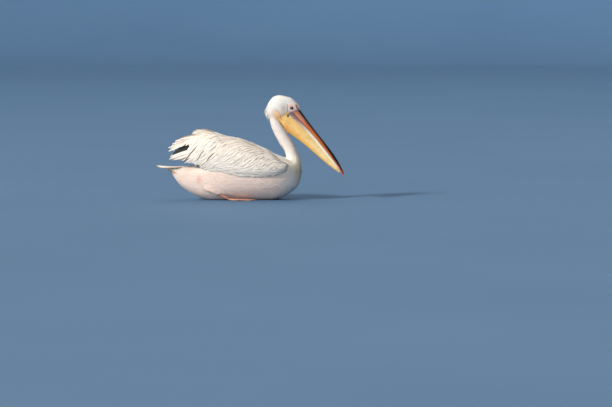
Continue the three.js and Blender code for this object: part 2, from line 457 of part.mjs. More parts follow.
for (const [name, side] of [["eye_left", 1], ["eye_right", -1]]) {
  const g = new THREE.SphereGeometry(EYE.r, 12, 7);
  g.rotateX(Math.PI / 2);
  const made = new THREE.Mesh(g, EYE_DARK);
  made.name = name;
  made.position.set(EYE.x, side * EYE.y, EYE.z);
  headGroup.add(made);
}
bird.position.x = -CENTRE_X;
export default bird;
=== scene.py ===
# A great white pelican at rest, life size: skin, bill, eyes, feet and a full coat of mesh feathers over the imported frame.
import bpy, bmesh, math
import numpy as np
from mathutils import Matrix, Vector
from mathutils.bvhtree import BVHTree


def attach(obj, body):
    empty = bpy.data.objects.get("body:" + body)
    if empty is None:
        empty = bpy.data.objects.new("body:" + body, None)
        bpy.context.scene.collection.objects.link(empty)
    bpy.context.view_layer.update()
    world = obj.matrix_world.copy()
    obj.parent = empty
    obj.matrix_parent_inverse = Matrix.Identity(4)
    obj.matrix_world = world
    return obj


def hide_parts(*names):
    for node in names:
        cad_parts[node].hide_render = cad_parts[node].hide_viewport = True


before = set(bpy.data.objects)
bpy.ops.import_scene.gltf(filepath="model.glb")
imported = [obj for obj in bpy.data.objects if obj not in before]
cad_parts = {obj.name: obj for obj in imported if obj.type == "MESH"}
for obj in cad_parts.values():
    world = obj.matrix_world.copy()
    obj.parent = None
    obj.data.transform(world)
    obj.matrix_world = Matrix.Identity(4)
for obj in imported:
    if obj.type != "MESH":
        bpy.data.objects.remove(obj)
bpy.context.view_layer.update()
RNG = np.random.default_rng(20260)
SHIFT = 2.3  # mm: the solids stand this much further forward than the stations below

# =============================================================== stations, the same as the solids' (mm)
EYE = dict(x=214.0, z=476.5, y=25.5, r=9.0)
WING_TURN, WING_FULLNESS, VALLEY_WIDTH = 115.0, 0.86, 34.0
TRUNK_TOP = [[-430, 171], [-400, 173], [-340, 174.5], [-300, 176], [-268, 182], [-240, 202], [-212, 244], [-185, 274], [-150, 292], [-110, 301], [-60, 301], [0, 287], [65, 263], [127, 239], [175, 221], [215, 209], [242, 199], [257, 187], [265, 172], [268, 152]]
TRUNK_MID = [[-430, 167], [-400, 158], [-370, 142], [-300, 128], [-200, 126], [-60, 128], [80, 130], [180, 136], [240, 146], [268, 151]]
TRUNK_LOW = [[-430, 160], [-416, 141], [-400, 118], [-385, 96], [-366, 73], [-340, 52], [-310, 32], [-272, 13], [-235, 1], [-200, -4], [-60, -5], [110, -4], [150, 5], [182, 18], [214, 38], [239, 60], [256, 84], [264, 112], [268, 150]]
TRUNK_HALF = [[-430, 30], [-400, 47], [-370, 58], [-320, 75], [-270, 92], [-220, 106], [-170, 117], [-110, 126], [-40, 130], [40, 129], [110, 121], [160, 111], [200, 97], [230, 79], [250, 57], [262, 34], [268, 0]]
WING_TOP = [[-440, 246], [-418, 264], [-390, 286], [-350, 309], [-310, 332], [-270, 349], [-235, 358], [-190, 356], [-150, 345], [-110, 333], [-60, 321], [0, 299], [65, 271], [127, 246], [170, 230], [206, 217]]
WING_LOW = [[-440, 216], [-400, 209], [-350, 202], [-300, 197], [-262, 191], [-230, 183], [-205, 176], [-170, 168], [-130, 154], [-90, 142], [-45, 135], [50, 130], [125, 133], [160, 140], [186, 156], [206, 182]]
WING_HALF = [[-440, 52], [-400, 70], [-350, 89], [-300, 106], [-250, 120], [-200, 132], [-140, 142], [-70, 149], [0, 151], [60, 149], [120, 141], [160, 130], [186, 117], [206, 98]]
VALLEY = [[-440, 10], [-380, 24], [-300, 34], [-230, 32], [-160, 18], [-80, 6], [0, 0], [205, 0]]
NECK = [[130, 455, 32, 33], [130.5, 425, 33.5, 32.5], [136.5, 396, 33.5, 31.5], [151.5, 357, 33, 31], [174, 314, 32.5, 31.5], [199, 273, 33, 33], [215.5, 233, 36.5, 37], [223, 194, 43, 50], [216, 160, 50, 66]]
HEAD_TOP = [[80, 462], [84, 481], [93, 502], [108, 523], [127, 537.5], [148, 542.5], [174, 539], [190, 535], [205, 531], [221, 523], [237, 510], [252, 495], [262, 479]]
HEAD_LOW = [[80, 450], [88, 430], [104, 412], [130, 402], [165, 408], [195, 428], [222, 441], [245, 452], [262, 464]]
HEAD_HALF = [[80, 6], [84, 16], [93, 26], [108, 33.5], [130, 38], [155, 39], [185, 35.5], [214, 30.5], [240, 25], [255, 19], [262, 10]]
CULMEN = ((246.0, 482.0), (484.0, 138.0))
BILL_BOW = 11.0
BILL_DEPTH = [[0, 44], [0.06, 39.5], [0.12, 35.5], [0.2, 31], [0.3, 26], [0.5, 20.5], [0.7, 19], [0.8, 17], [0.88, 13.5], [1, 8]]
BILL_HALF = [[0, 23], [0.12, 21.5], [0.3, 19], [0.5, 17], [0.75, 16], [0.9, 16.5], [0.96, 13.5], [1, 7]]
RAMUS_DEPTH = [[0, 19], [0.12, 18], [0.3, 15.5], [0.5, 14], [0.8, 12], [1, 6]]
POUCH_DEPTH = [[0, 150], [0.1, 136], [0.19, 120], [0.3, 102], [0.4, 89], [0.5, 78], [0.6, 67.5], [0.7, 57], [0.8, 45], [0.9, 31], [0.98, 18], [1, 13]]
POUCH_HALF = [[0, 32.5], [0.1, 31], [0.3, 26], [0.5, 21.5], [0.75, 17], [0.92, 13], [1, 7]]
NAIL = dict(length=24.0, half=8.0, hook=7.0)
TAIL = dict(rootX=-372.0, tipX=-486.0, rootHalf=50.0, tipHalf=66.0, z=168.5, rise=7.0)
LEG = dict(hip=(-212, 74, 112), ankle=(-224, 98, 70), ball=(-108, 93, 9), r=(15, 10.5, 6.2))
TOES = [((20, 75), 4.6), ((29, 101), 4.8), ((12, 125), 4.4), ((-62, 133), 3.8)]

# =============================================================== small maths
def through(st):
    st = np.array(st, float); xs, ys = st[:, 0], st[:, 1]
    h = np.diff(xs); d = np.diff(ys) / h
    m = np.zeros(len(xs)); m[0], m[-1] = d[0], d[-1]
    for i in range(1, len(xs) - 1):
        if d[i - 1] * d[i] > 0:
            a, b = 2 * h[i] + h[i - 1], h[i] + 2 * h[i - 1]
            m[i] = (a + b) / (a / d[i - 1] + b / d[i])
    def f(x):
        x = np.clip(np.asarray(x, float), xs[0], xs[-1])
        i = np.clip(np.searchsorted(xs, x, side="right") - 1, 0, len(h) - 1)
        t = (x - xs[i]) / h[i]; t2 = t * t; t3 = t2 * t
        return (2*t3 - 3*t2 + 1) * ys[i] + (t3 - 2*t2 + t) * h[i] * m[i] + (3*t2 - 2*t3) * ys[i + 1] + (t3 - t2) * h[i] * m[i + 1]
    return f

def lerp(a, b, t): return a + (b - a) * t
def smooth(a, b, x):
    t = np.clip((np.asarray(x, float) - a) / (b - a), 0, 1)
    return t * t * (3 - 2 * t)
def spow(v, e): return np.sign(v) * np.abs(v) ** e
def unit(v): return v / np.maximum(np.linalg.norm(v, axis=-1, keepdims=True), 1e-9)
def srgb(r, g, b):
    c = np.array([r, g, b], float) / 255
    return np.where(c <= 0.04045, c / 12.92, ((c + 0.055) / 1.055) ** 2.4)

def _hash(ix, iy, iz, seed):
    h = (ix * 374761393 + iy * 668265263 + iz * 2147483647 + seed * 1274126177) & 0xFFFFFFFF
    h = ((h ^ (h >> 13)) * 1274126177) & 0xFFFFFFFF
    h = (h ^ (h >> 16)) & 0xFFFFFFFF
    return h / 4294967295.0
def noise3(p, seed=0):
    """Smooth value noise, 0 to 1, one value per row of p."""
    p = np.asarray(p, float); i = np.floor(p).astype(np.int64); f = p - i; f = f * f * (3 - 2 * f)
    out = 0
    for dx in (0, 1):
        for dy in (0, 1):
            for dz in (0, 1):
                w = (f[:, 0] if dx else 1 - f[:, 0]) * (f[:, 1] if dy else 1 - f[:, 1]) * (f[:, 2] if dz else 1 - f[:, 2])
                out = out + w * _hash(i[:, 0] + dx, i[:, 1] + dy, i[:, 2] + dz, seed)
    return out
def fbm(p, octaves=3, seed=0):
    p = np.asarray(p, float); a, s, t = 1.0, 0.0, 0.0
    for k in range(octaves):
        s = s + a * noise3(p * 2.0 ** k, seed + 17 * k); t += a; a *= 0.5
    return s / t

# =============================================================== forms
trunk_top, trunk_mid, trunk_low, trunk_half = map(through, (TRUNK_TOP, TRUNK_MID, TRUNK_LOW, TRUNK_HALF))
wing_top, wing_low, wing_half, valley = map(through, (WING_TOP, WING_LOW, WING_HALF, VALLEY))
head_top, head_low, head_half = map(through, (HEAD_TOP, HEAD_LOW, HEAD_HALF))
bill_depth, bill_half, ramus_depth, pouch_depth, pouch_half = map(through, (BILL_DEPTH, BILL_HALF, RAMUS_DEPTH, POUCH_DEPTH, POUCH_HALF))
neck_cols = [through([[i, r[j]] for i, r in enumerate(NECK)]) for j in range(4)]
CUL0, CUL1 = np.array(CULMEN[0]), np.array(CULMEN[1])
CDIR = CUL1 - CUL0; BILL_LENGTH = float(np.linalg.norm(CDIR)); CDIR = CDIR / BILL_LENGTH
UNDER = np.array([CDIR[1], -CDIR[0]])
TURN = math.radians(WING_TURN)

def xyz(x, y, z): return np.stack(np.broadcast_arrays(x, y, z), -1).astype(float)
def trunk_point(x, a, grow=0.0):
    w, mid, c, s = trunk_half(x) + grow, trunk_mid(x), np.cos(a), np.sin(a)
    w = np.maximum(w, 0.5)
    up = mid + (trunk_top(x) + grow - mid) * spow(s, 0.95)
    dn = mid + (mid - trunk_low(x) + grow) * spow(s, 0.84)
    return xyz(x, w * spow(c, np.where(s >= 0, 0.9, 0.84)), np.where(s >= 0, up, dn))
def neck_frame(s):
    k = np.asarray(s, float) * (len(NECK) - 1)
    x, z, depth, half = (c(k) for c in neck_cols)
    k0, k1 = np.maximum(0, k - .02), np.minimum(len(NECK) - 1, k + .02)
    d = np.stack([neck_cols[0](k1) - neck_cols[0](k0), neck_cols[1](k1) - neck_cols[1](k0)], -1)
    return x, z, depth, half, unit(d)
def neck_point(s, a, grow=0.0):
    x, z, depth, half, d = neck_frame(s); c, t = np.cos(a), np.sin(a)
    return xyz(x - (depth + grow) * t * d[..., 1], (half + grow) * c, z + (depth + grow) * t * d[..., 0])
def head_point(x, a, grow=0.0):
    mid, w, c, s = (head_low(x) + head_top(x)) / 2, head_half(x) + grow, np.cos(a), np.sin(a)
    r = np.where(s >= 0, head_top(x) - mid + grow, mid - head_low(x) + grow)
    return xyz(x, np.maximum(w, .5) * spow(c, 0.9), mid + r * spow(s, 0.92))
def bill_point(s, y, d): return xyz(CUL0[0] + (CUL1[0] - CUL0[0]) * s + UNDER[0] * d, y, CUL0[1] + (CUL1[1] - CUL0[1]) * s + UNDER[1] * d)
def bow(s): return -BILL_BOW * np.sin(np.pi * np.clip(s, 0, 1) ** 2.4)
def pouch_line(s):
    u = lerp(-0.15, 0.978, s); k = np.maximum(0, u); back = np.maximum(0, -u)
    return u, bill_depth(k) + bow(k) + 4 + back * 110, pouch_depth(k) - back * 160, pouch_half(k) - back * 30
def pouch_point(s, a, grow=0.0):
    u, top, keel, half = pouch_line(s); c, t = np.cos(a), np.sin(a); v = 0.5 - 0.5 * t
    return bill_point(u, (half + grow) * spow(c, 0.9) * (1 - 0.38 * v * v), top + (keel - top) * v - grow * t)
def ramus_line(s, side):
    u = lerp(-0.07, 0.968, s); k = np.maximum(0, u); back = np.maximum(0, 0.06 - u)
    return u, ramus_depth(k) / 2, side * np.maximum(4.2, bill_half(k) - 3.2 + back * 30), bill_depth(k) + bow(k) + 0.4 + ramus_depth(k) / 2 + back * 95
def wing_surface(x, th):
    top = wing_top(x); h = (top - wing_low(x)) / (1 - math.cos(TURN)); y = wing_half(x) * spow(np.sin(th), WING_FULLNESS)
    dip = valley(x) * (1 - smooth(0, VALLEY_WIDTH * 1.7, y)) * (1 - smooth(0.2, 0.9, th))
    return xyz(x, y, top - h * (1 - np.cos(th)) - dip)
def wing_normal(x, th):
    t = np.maximum(0.03, th)
    du = wing_surface(x + 2, t) - wing_surface(x - 2, t); dv = wing_surface(x, t + .02) - wing_surface(x, t - .02)
    n = unit(np.cross(dv, du)); q = wing_surface(x, t)
    s = np.sign(n[..., 1] * q[..., 1] + n[..., 2] * (q[..., 2] - 140))
    return n * np.where(s == 0, 1, s)[..., None]
def wing_point(x, th, out): return wing_surface(x, th) + wing_normal(x, th) * np.asarray(out, float)[..., None]
def turn_at(x, z):
    top = wing_top(x); h = (top - wing_low(x)) / (1 - math.cos(TURN))
    return np.arccos(np.clip(1 - (top - z) / h, -0.55, 1))

def loft(rings, sides, at, cap0, cap1, spread=lambda s: s):
    """A closed tube of rings, with a point closing each end."""
    S, A = np.meshgrid(spread(np.linspace(0, 1, rings + 1)), np.arange(sides) * 2 * np.pi / sides, indexing="ij")
    v = at(S, A).reshape(-1, 3)
    i, j = np.meshgrid(np.arange(rings), np.arange(sides), indexing="ij"); j2 = (j + 1) % sides
    q = np.stack([i * sides + j, i * sides + j2, (i + 1) * sides + j2, (i + 1) * sides + j], -1).reshape(-1, 4)
    n = len(v); k = np.arange(sides); k2 = (k + 1) % sides; last = rings * sides
    t0 = np.stack([np.full(sides, n), k2, k], -1); t1 = np.stack([np.full(sides, n + 1), last + k, last + k2], -1)
    return np.vstack([v, [cap0], [cap1]]), q.tolist() + t0.tolist() + t1.tolist()

def make_mesh(name, verts_mm, faces, material=None, shade=True, shift=True):
    me = bpy.data.meshes.new(name)
    v = np.array(verts_mm, float).copy()
    if shift: v[:, 0] += SHIFT
    me.from_pydata((v / 1000).tolist(), [], faces)
    me.update()
    ob = bpy.data.objects.new(name, me); bpy.context.scene.collection.objects.link(ob)
    if material: me.materials.append(material)
    if shade: me.polygons.foreach_set("use_smooth", np.ones(len(me.polygons), bool))
    return ob
def flip_out(verts, faces):
    """Faces turned so that the closed form's volume is positive."""
    vol = 0.0; V = np.asarray(verts)
    for f in faces:
        a = V[f[0]]
        for k in range(1, len(f) - 1): vol += float(np.dot(a, np.cross(V[f[k]], V[f[k + 1]])))
    return faces if vol > 0 else [list(reversed(f)) for f in faces]
def tube(points, radii, rings, sides, squash=1.0):
    """A tube through points with the radii given along it."""
    P = np.array(points, float); t = np.linspace(0, 1, len(P)); c = [through(np.c_[t, P[:, k]]) for k in range(3)]
    r = through(np.c_[np.linspace(0, 1, len(radii)), radii])
    def at(S, A):
        q = np.stack([f(S) for f in c], -1); d = unit(np.stack([f(np.minimum(1, S + .01)) - f(np.maximum(0, S - .01)) for f in c], -1))
        y = unit(np.cross(np.array([0., 0., 1.]), d)); n = np.cross(d, y)
        return q + y * (r(S) * np.cos(A))[..., None] + n * (r(S) * np.sin(A) * squash)[..., None]
    return loft(rings, sides, at, P[0], P[-1])
def put_color(ob, name, rgb):
    me = ob.data; at = me.color_attributes.new(name, "FLOAT_COLOR", "POINT")
    c = np.ones((len(me.vertices), 4)); c[:, :3] = rgb
    at.data.foreach_set("color", c.ravel())
def put_float(ob, name, val):
    at = ob.data.attributes.new(name, "FLOAT", "POINT"); at.data.foreach_set("value", np.asarray(val, np.float32))

# =============================================================== camera, floor and light
scene = bpy.context.scene
scene.view_settings.view_transform = "Standard"
scene.view_settings.look = "None"
cam_data = bpy.data.cameras.new("camera"); cam = bpy.data.objects.new("camera", cam_data); scene.collection.objects.link(cam)
cam_data.lens, cam_data.sensor_width, cam_data.clip_end = 200.0, 36.0, 200.0
AIM, DISTANCE, RISE = Vector((0.2905, 0.0, -0.022)), 17.68, math.radians(4.0)
cam.location = AIM + Vector((0, -math.cos(RISE), math.sin(RISE))) * DISTANCE
cam.rotation_euler = (math.pi / 2 - RISE, 0, 0)
scene.camera = cam

def nodes_of(name):
    m = bpy.data.materials.new(name); m.use_nodes = True; t = m.node_tree; t.nodes.clear()
    out = t.nodes.new("ShaderNodeOutputMaterial"); b = t.nodes.new("ShaderNodeBsdfPrincipled"); t.links.new(b.outputs[0], out.inputs[0])
    return m, t, b
def node(t, kind, props=None, **inputs):
    n = t.nodes.new(kind)
    for k, v in (props or {}).items(): setattr(n, k, v)
    for k, v in inputs.items():
        key = int(k[1:]) if k[0] == "_" else k.replace("_", " ")
        if isinstance(v, bpy.types.NodeSocket): t.links.new(v, n.inputs[key])
        else: n.inputs[key].default_value = v
    return n
def ramp(t, fac, stops):
    n = t.nodes.new("ShaderNodeValToRGB"); t.links.new(fac, n.inputs[0]); e = n.color_ramp.elements
    while len(e) < len(stops): e.new(0.5)
    for el, (p, c) in zip(e, stops): el.position = p; el.color = (*c, 1) if len(c) == 3 else c
    return n
def mix(t, mode, fac, a, b):
    n = t.nodes.new("ShaderNodeMix"); n.data_type = "RGBA"; n.blend_type = mode
    for s, v in ((n.inputs[0], fac), (n.inputs[6], a), (n.inputs[7], b)):
        if isinstance(v, bpy.types.NodeSocket): t.links.new(v, s)
        else: s.default_value = v if isinstance(v, (int, float)) else (*v, 1)
    return n.outputs[2]
def maths(t, op, a, b=None, c=None):
    n = t.nodes.new("ShaderNodeMath"); n.operation = op
    for i, v in enumerate((a, b, c)):
        if v is None: continue
        if isinstance(v, bpy.types.NodeSocket): t.links.new(v, n.inputs[i])
        else: n.inputs[i].default_value = v
    return n.outputs[0]
def bump(t, height, strength, distance, normal=None):
    n = node(t, "ShaderNodeBump", Height=height, Strength=strength, Distance=distance)
    if normal is not None: t.links.new(normal, n.inputs["Normal"])
    return n.outputs[0]
def attribute(t, name): return node(t, "ShaderNodeAttribute", {"attribute_name": name})
def coords(t): return node(t, "ShaderNodeTexCoord").outputs["Object"]
def noise(t, vec, scale, detail=3.0, rough=0.5, distort=0.0): return node(t, "ShaderNodeTexNoise", Vector=vec, Scale=scale, Detail=detail, Roughness=rough, Distortion=distort).outputs[0]
def scaled(t, vec, s): return node(t, "ShaderNodeMapping", {"vector_type": "POINT"}, Vector=vec, Scale=s).outputs[0]

# The floor runs far out and turns up into a round wall, so no view meets a horizon.
def make_stage():
    R, H, B, N = 30.0, 6.0, 6.0, 96
    prof = [(0.001, 0), (1.5, 0), (6, 0), (14, 0), (R - B, 0)]
    prof += [(R - B + B * math.sin(k * math.pi / 24), B - B * math.cos(k * math.pi / 24)) for k in range(1, 25)]
    v, f = [], []
    for r, z in prof:
        for j in range(N): v.append((r * math.cos(2 * math.pi * j / N), r * math.sin(2 * math.pi * j / N), z))
    for i in range(len(prof) - 1):
        for j in range(N): f.append((i * N + j, i * N + (j + 1) % N, (i + 1) * N + (j + 1) % N, (i + 1) * N + j))
    v.append((0, 0, 0)); f += [(len(v) - 1, j, (j + 1) % N)[::1] for j in range(N)]
    me = bpy.data.meshes.new("floor"); me.from_pydata(v, [], f); me.update()
    me.polygons.foreach_set("use_smooth", np.ones(len(f), bool))
    ob = bpy.data.objects.new("floor", me); scene.collection.objects.link(ob)
    bm = bmesh.new(); bm.from_mesh(me); bmesh.ops.recalc_face_normals(bm, faces=bm.faces)
    bm.faces.ensure_lookup_table()
    if bm.faces[0].normal.z < 0: bmesh.ops.reverse_faces(bm, faces=bm.faces)
    bm.to_mesh(me); bm.free()
    m, t, b = nodes_of("floor_finish")
    n = noise(t, coords(t), 0.6, 3, 0.5)
    c = ramp(t, n, [(0.3, (0.091, 0.181, 0.308)), (0.7, (0.098, 0.192, 0.321))])
    t.links.new(c.outputs[0], b.inputs["Base Color"]); b.inputs["Roughness"].default_value = 0.75
    b.inputs["Specular IOR Level"].default_value = 0.25
    # the far wall is lit evenly all round, so no view meets a dark band behind the bird
    at = me.attributes.new("glow", "FLOAT", "POINT"); co = np.array(v); rad = np.hypot(co[:, 0], co[:, 1]); tilt = np.clip((rad - (R - B)) / B, 0, 1); beta = np.arcsin(tilt)
    nrm = np.stack([-co[:, 0] / np.maximum(rad, 1) * np.sin(beta), -co[:, 1] / np.maximum(rad, 1) * np.sin(beta), np.cos(beta)], 1)
    lit = lambda d, e: e / math.pi * np.maximum(0, nrm @ (np.array(d) / np.linalg.norm(d)))
    level = lit((-3.7, -2.5, 2.55), 3.45) + lit((-0.2, 0.9, 0.8), 1.1) + lit((-2.25, -6.8, 1.5), 0.95) + 0.28 * (0.5 + 0.5 * np.cos(beta)) + 0.10 * np.sin(beta)
    at.data.foreach_set("value", (np.maximum(0, level[0] - level) * (rad > 20)).astype(np.float32))
    t.links.new(c.outputs[0], b.inputs["Emission Color"]); t.links.new(attribute(t, "glow").outputs["Fac"], b.inputs["Emission Strength"])
    me.materials.append(m)
    # the wall is an object of its own that casts no shadow, so low suns reach the far floor
    wall = bpy.data.objects.new("wall", me.copy()); scene.collection.objects.link(wall); wall.visible_shadow = False
    for o, far in ((ob, False), (wall, True)):
        bm = bmesh.new(); bm.from_mesh(o.data); edge = R - B + .01
        gone = [f_ for f_ in bm.faces if (min(math.hypot(q.co.x, q.co.y) for q in f_.verts) > edge - .4) != far]
        bmesh.ops.delete(bm, geom=gone, context="FACES"); bm.to_mesh(o.data); bm.free()
make_stage()

def sun(name, source, power, angle, color):
    d = bpy.data.lights.new(name, "SUN"); d.energy, d.angle, d.color = power, math.radians(angle), color
    o = bpy.data.objects.new(name, d); o.rotation_mode = "QUATERNION"; o.rotation_quaternion = Vector(source).to_track_quat("Z", "Y")
    o.location = Vector(source); scene.collection.objects.link(o)
sun("key", (-3.7, -2.5, 2.55), 3.45, 10, (1.0, 0.95, 0.875))
sun("back", (-0.2, 0.9, 0.8), 1.25, 80, (1.0, 0.985, 0.96))
sun("fill", (-2.25, -6.8, 1.5), 0.95, 26, (1.0, 0.965, 0.93))
world = bpy.data.worlds.new("world"); scene.world = world; world.use_nodes = True
world.node_tree.nodes["Background"].inputs[0].default_value = (0.97, 0.98, 1.0, 1); world.node_tree.nodes["Background"].inputs[1].default_value = 0.28

# =============================================================== outlines of the bare skin, seen from the side (mm)
FACE = [(191, 492), (196, 498), (206, 500.5), (224, 500), (238, 495), (249, 487), (262, 470), (232, 440), (212, 440), (204, 447), (193, 458)]
GULAR = [(124, 455), (128, 462), (136, 463.5), (145, 457.5), (155, 447), (164, 441), (172, 443), (181, 452), (192, 458), (203, 449), (214, 444), (250, 470), (520, 150), (470, 80), (260, 250), (195, 348), (171.6, 374), (148.2, 403), (131.6, 424), (124.3, 442)]
def outline_distance(x, z, poly):
    """Signed distance to a closed outline, negative inside."""
    p = np.array(poly, float); q = np.roll(p, -1, 0); x, z = np.asarray(x, float), np.asarray(z, float)
    best = np.full(x.shape, 1e9); inside = np.zeros(x.shape, bool)
    for (ax, az), (bx, bz) in zip(p, q):
        ex, ez = bx - ax, bz - az; t = np.clip(((x - ax) * ex + (z - az) * ez) / (ex * ex + ez * ez), 0, 1)
        best = np.minimum(best, (x - ax - t * ex) ** 2 + (z - az - t * ez) ** 2)
        if az != bz: inside ^= ((az > z) != (bz > z)) & (x < (bx - ax) * (z - az) / (bz - az) + ax)
    d = np.sqrt(best); return np.where(inside, -d, d)
def face_d(p): return outline_distance(p[:, 0], p[:, 2], FACE)
def gular_d(p):
    """On the throat the bare skin of the two sides meets in front of the neck."""
    return outline_distance(p[:, 0], p[:, 2], GULAR)

# =============================================================== the skin: one closed body under the coat
def vertex_normals(V, F):
    V = np.asarray(V, float); N = np.zeros_like(V)
    tri = np.array([(f[0], f[k], f[k + 1]) for f in F for k in range(1, len(f) - 1)])
    n = np.cross(V[tri[:, 1]] - V[tri[:, 0]], V[tri[:, 2]] - V[tri[:, 0]])
    for k in range(3): np.add.at(N, tri[:, k], n)
    return unit(N)
def inset(V, F, amount):
    F = flip_out(V, F); return V - vertex_normals(V, F) * np.asarray(amount, float)[:, None], F

def skin_trunk():
    x_of = lambda s: lerp(-430, 267.6, 1 - (1 - s) ** 1.6)
    V, F = loft(150, 120, lambda S, A: trunk_point(x_of(S), A), (-430.5, 0, 166), (268.4, 0, 151))
    thin = np.minimum(9.0, 0.32 * (trunk_top(V[:, 0]) - trunk_low(V[:, 0])))
    thin = thin * (1 - 0.45 * smooth(214, 250, V[:, 0]) * smooth(170, 230, V[:, 2]))
    return inset(V, F, thin)
def skin_neck():
    V, F = loft(90, 72, lambda S, A: neck_point(S, A), (130, 0, 458), (214, 0, 150))
    return inset(V, F, lerp(3.6, 8.0, 1 - smooth(200, 330, V[:, 2])))
def skin_head():
    V, F = loft(96, 84, lambda S, A: head_point(lerp(80, 262, 0.5 - 0.5 * np.cos(np.pi * S)), A), (79.6, 0, 456), (262.3, 0, 472))
    bare = 1 - smooth(-2, 4, np.minimum(face_d(V), gular_d(V)))
    return inset(V, F, lerp(2.9, 0.7, bare))
def skin_pouch():
    V, F = loft(150, 72, lambda S, A: pouch_point(S, A), pouch_point(0, 0.0) * [1, 0, 1], pouch_point(1, 0.0) * [1, 0, 1])
    return inset(V, F, np.full(len(V), 0.5))
SHELL_MM, SHELL_END_X = 11.0, -322.0
def wing_ring(x):
    """For each x: turn at the start and at the end, and roundness of the nose."""
    start = smooth(60, 200, x) * 0.75
    rnd = np.sqrt(np.maximum(0, 1 - (np.maximum(0, x - 176) / 26.5) ** 2))
    return lerp(start, 1.3, 0.85 * (1 - rnd)), lerp(TURN, 1.65, 0.85 * (1 - rnd)), rnd
def wing_out(x, v):
    rnd = np.sqrt(np.maximum(0, 1 - (np.maximum(0, x - 176) / 26.5) ** 2))
    return -14 * (1 - rnd) - 20 * smooth(85, 185, x) * (1 - smooth(0, 0.4, v))
def skin_wing(side):
    nt = 64
    def at(S, A):
        x = lerp(SHELL_END_X + 4, 199, 1 - (1 - S) ** 1.5); th0, th1, rnd = wing_ring(x)
        k = A / (2 * np.pi) * (2 * nt); outer = k < nt
        v = np.clip(np.where(outer, k / (nt - 1), (2 * nt - 1 - k) / (nt - 1)), 0, 1)
        th = lerp(th0, th1, v * 0.985)
        bodyward = smooth(-150, 20, x)
        edge = lerp(0.35, 0.9, bodyward) + lerp(0.65, 0.1, bodyward) * np.sqrt(np.sin(np.pi * np.clip(v * .94 + .03, 0, 1)))
        deep = lerp(SHELL_MM, 46, smooth(-250, -150, x)) * edge
        cover = lerp(3.6, 7.5, smooth(-300, -160, x)) * (1 - 0.5 * smooth(150, 200, x))
        o = wing_out(x, v)
        return wing_point(x, np.maximum(th, 0.02), np.where(outer, o - cover, np.minimum(o - cover - 4.2, -deep)))
    V, F = loft(110, 2 * nt, at, at(np.zeros(1), np.array([0.6]))[0], at(np.ones(1), np.array([0.6]))[0])
    V[-2] = V[:2 * nt].mean(0); V[-1] = V[-2 - 2 * nt:-2].mean(0)
    V = V * [1, side, 1]
    return V, flip_out(V, F)
def skin_leg(side):
    (hx, hy, hz), (ax, ay, az), (bx, by, bz) = LEG["hip"], LEG["ankle"], LEG["ball"]
    V, F = tube([(hx, hy - 14, hz), (ax, ay - 12, az), (lerp(ax, bx, .3), lerp(ay, by, .3), lerp(az, bz, .36)), (bx - 6, by, bz + 1)], [LEG["r"][0] - 4, LEG["r"][1] - 1.5, 7, LEG["r"][2]], 40, 28)
    V = V * [1, side, 1]; return V, flip_out(V, F)
def skin_toes(side):
    bx, by = LEG["ball"][:2]; parts = []
    for (q, r) in TOES:
        L = math.hypot(q[0] - bx, q[1] - by); ux, uy = (q[0] - bx) / L, (q[1] - by) / L
        parts.append(tube([(bx, by, 5.4), (lerp(bx, q[0], .5), lerp(by, q[1], .5), r - .6), (q[0], q[1], 2.9)], [r + 1.2, r, r * .74], 30, 20))
    # the web: a thin sheet, scalloped between the toes
    n, m = 14, 20; V, F = [], []
    edge = []
    for (a, _), (b, _) in zip(TOES[:-1], TOES[1:]):
        for k in range(n):
            t = k / n; e = np.array(a) * (1 - t) + np.array(b) * t
            pull = 0.10 * math.sin(math.pi * t) ** 0.8; edge.append(tuple(e * (1 - pull) + np.array((bx, by)) * pull))
    edge.append(TOES[-1][0]); N = len(edge)
    for z0 in (1, 0):
        for i in range(m + 1):
            s = i / m
            for j, e in enumerate(edge):
                x, y = lerp(bx - 3, e[0] * .985 + bx * .015, s), lerp(by, e[1] * .985 + by * .015, s)
                sag = math.sin(math.pi * (j % n) / n) ** 0.7 if j < N - 1 else 0
                mid = 3.0 + 2.2 * (1 - s) - 1.3 * sag * s
                V.append((x, y, mid + (1.35 if z0 else -1.35)))
    half = (m + 1) * N
    for i in range(m):
        for j in range(N - 1):
            a = i * N + j; F += [[a, a + 1, a + N + 1, a + N], [half + a, half + a + N, half + a + N + 1, half + a + 1]]
    for j in range(N - 1):
        F += [[j, half + j, half + j + 1, j + 1], [m * N + j, m * N + j + 1, half + m * N + j + 1, half + m * N + j]]
    for i in range(m):
        F += [[i * N, (i + 1) * N, half + (i + 1) * N, half + i * N], [i * N + N - 1, half + i * N + N - 1, half + (i + 1) * N + N - 1, (i + 1) * N + N - 1]]
    parts.append((np.array(V, float), F)); out = []
    for V, F in parts:
        V = np.array(V) * [1, side, 1]; V[:, 2] = np.maximum(V[:, 2], 0.4); out.append((V, flip_out(V, F)))
    return out

def joined_forms(forms):
    V, F, n = [], [], 0
    for v, f in forms: V.append(np.asarray(v, float)); F += [[i + n for i in q] for q in f]; n += len(v)
    return np.vstack(V), F

def evaluate(ob, kind, **props):
    m = ob.modifiers.new("m", kind)
    for k, v in props.items(): setattr(m, k, v)
    dg = bpy.context.evaluated_depsgraph_get(); me = bpy.data.meshes.new_from_object(ob.evaluated_get(dg), depsgraph=dg)
    ob.modifiers.clear(); old = ob.data; ob.data = me; bpy.data.meshes.remove(old)

BODY_FORMS = [skin_trunk(), skin_neck(), skin_head(), skin_pouch(), skin_wing(1), skin_wing(-1), skin_leg(1), skin_leg(-1)] + skin_toes(1) + skin_toes(-1)
skin = make_mesh("skin", *joined_forms(BODY_FORMS))
evaluate(skin, "REMESH", mode="VOXEL", voxel_size=0.0038, adaptivity=0.0)
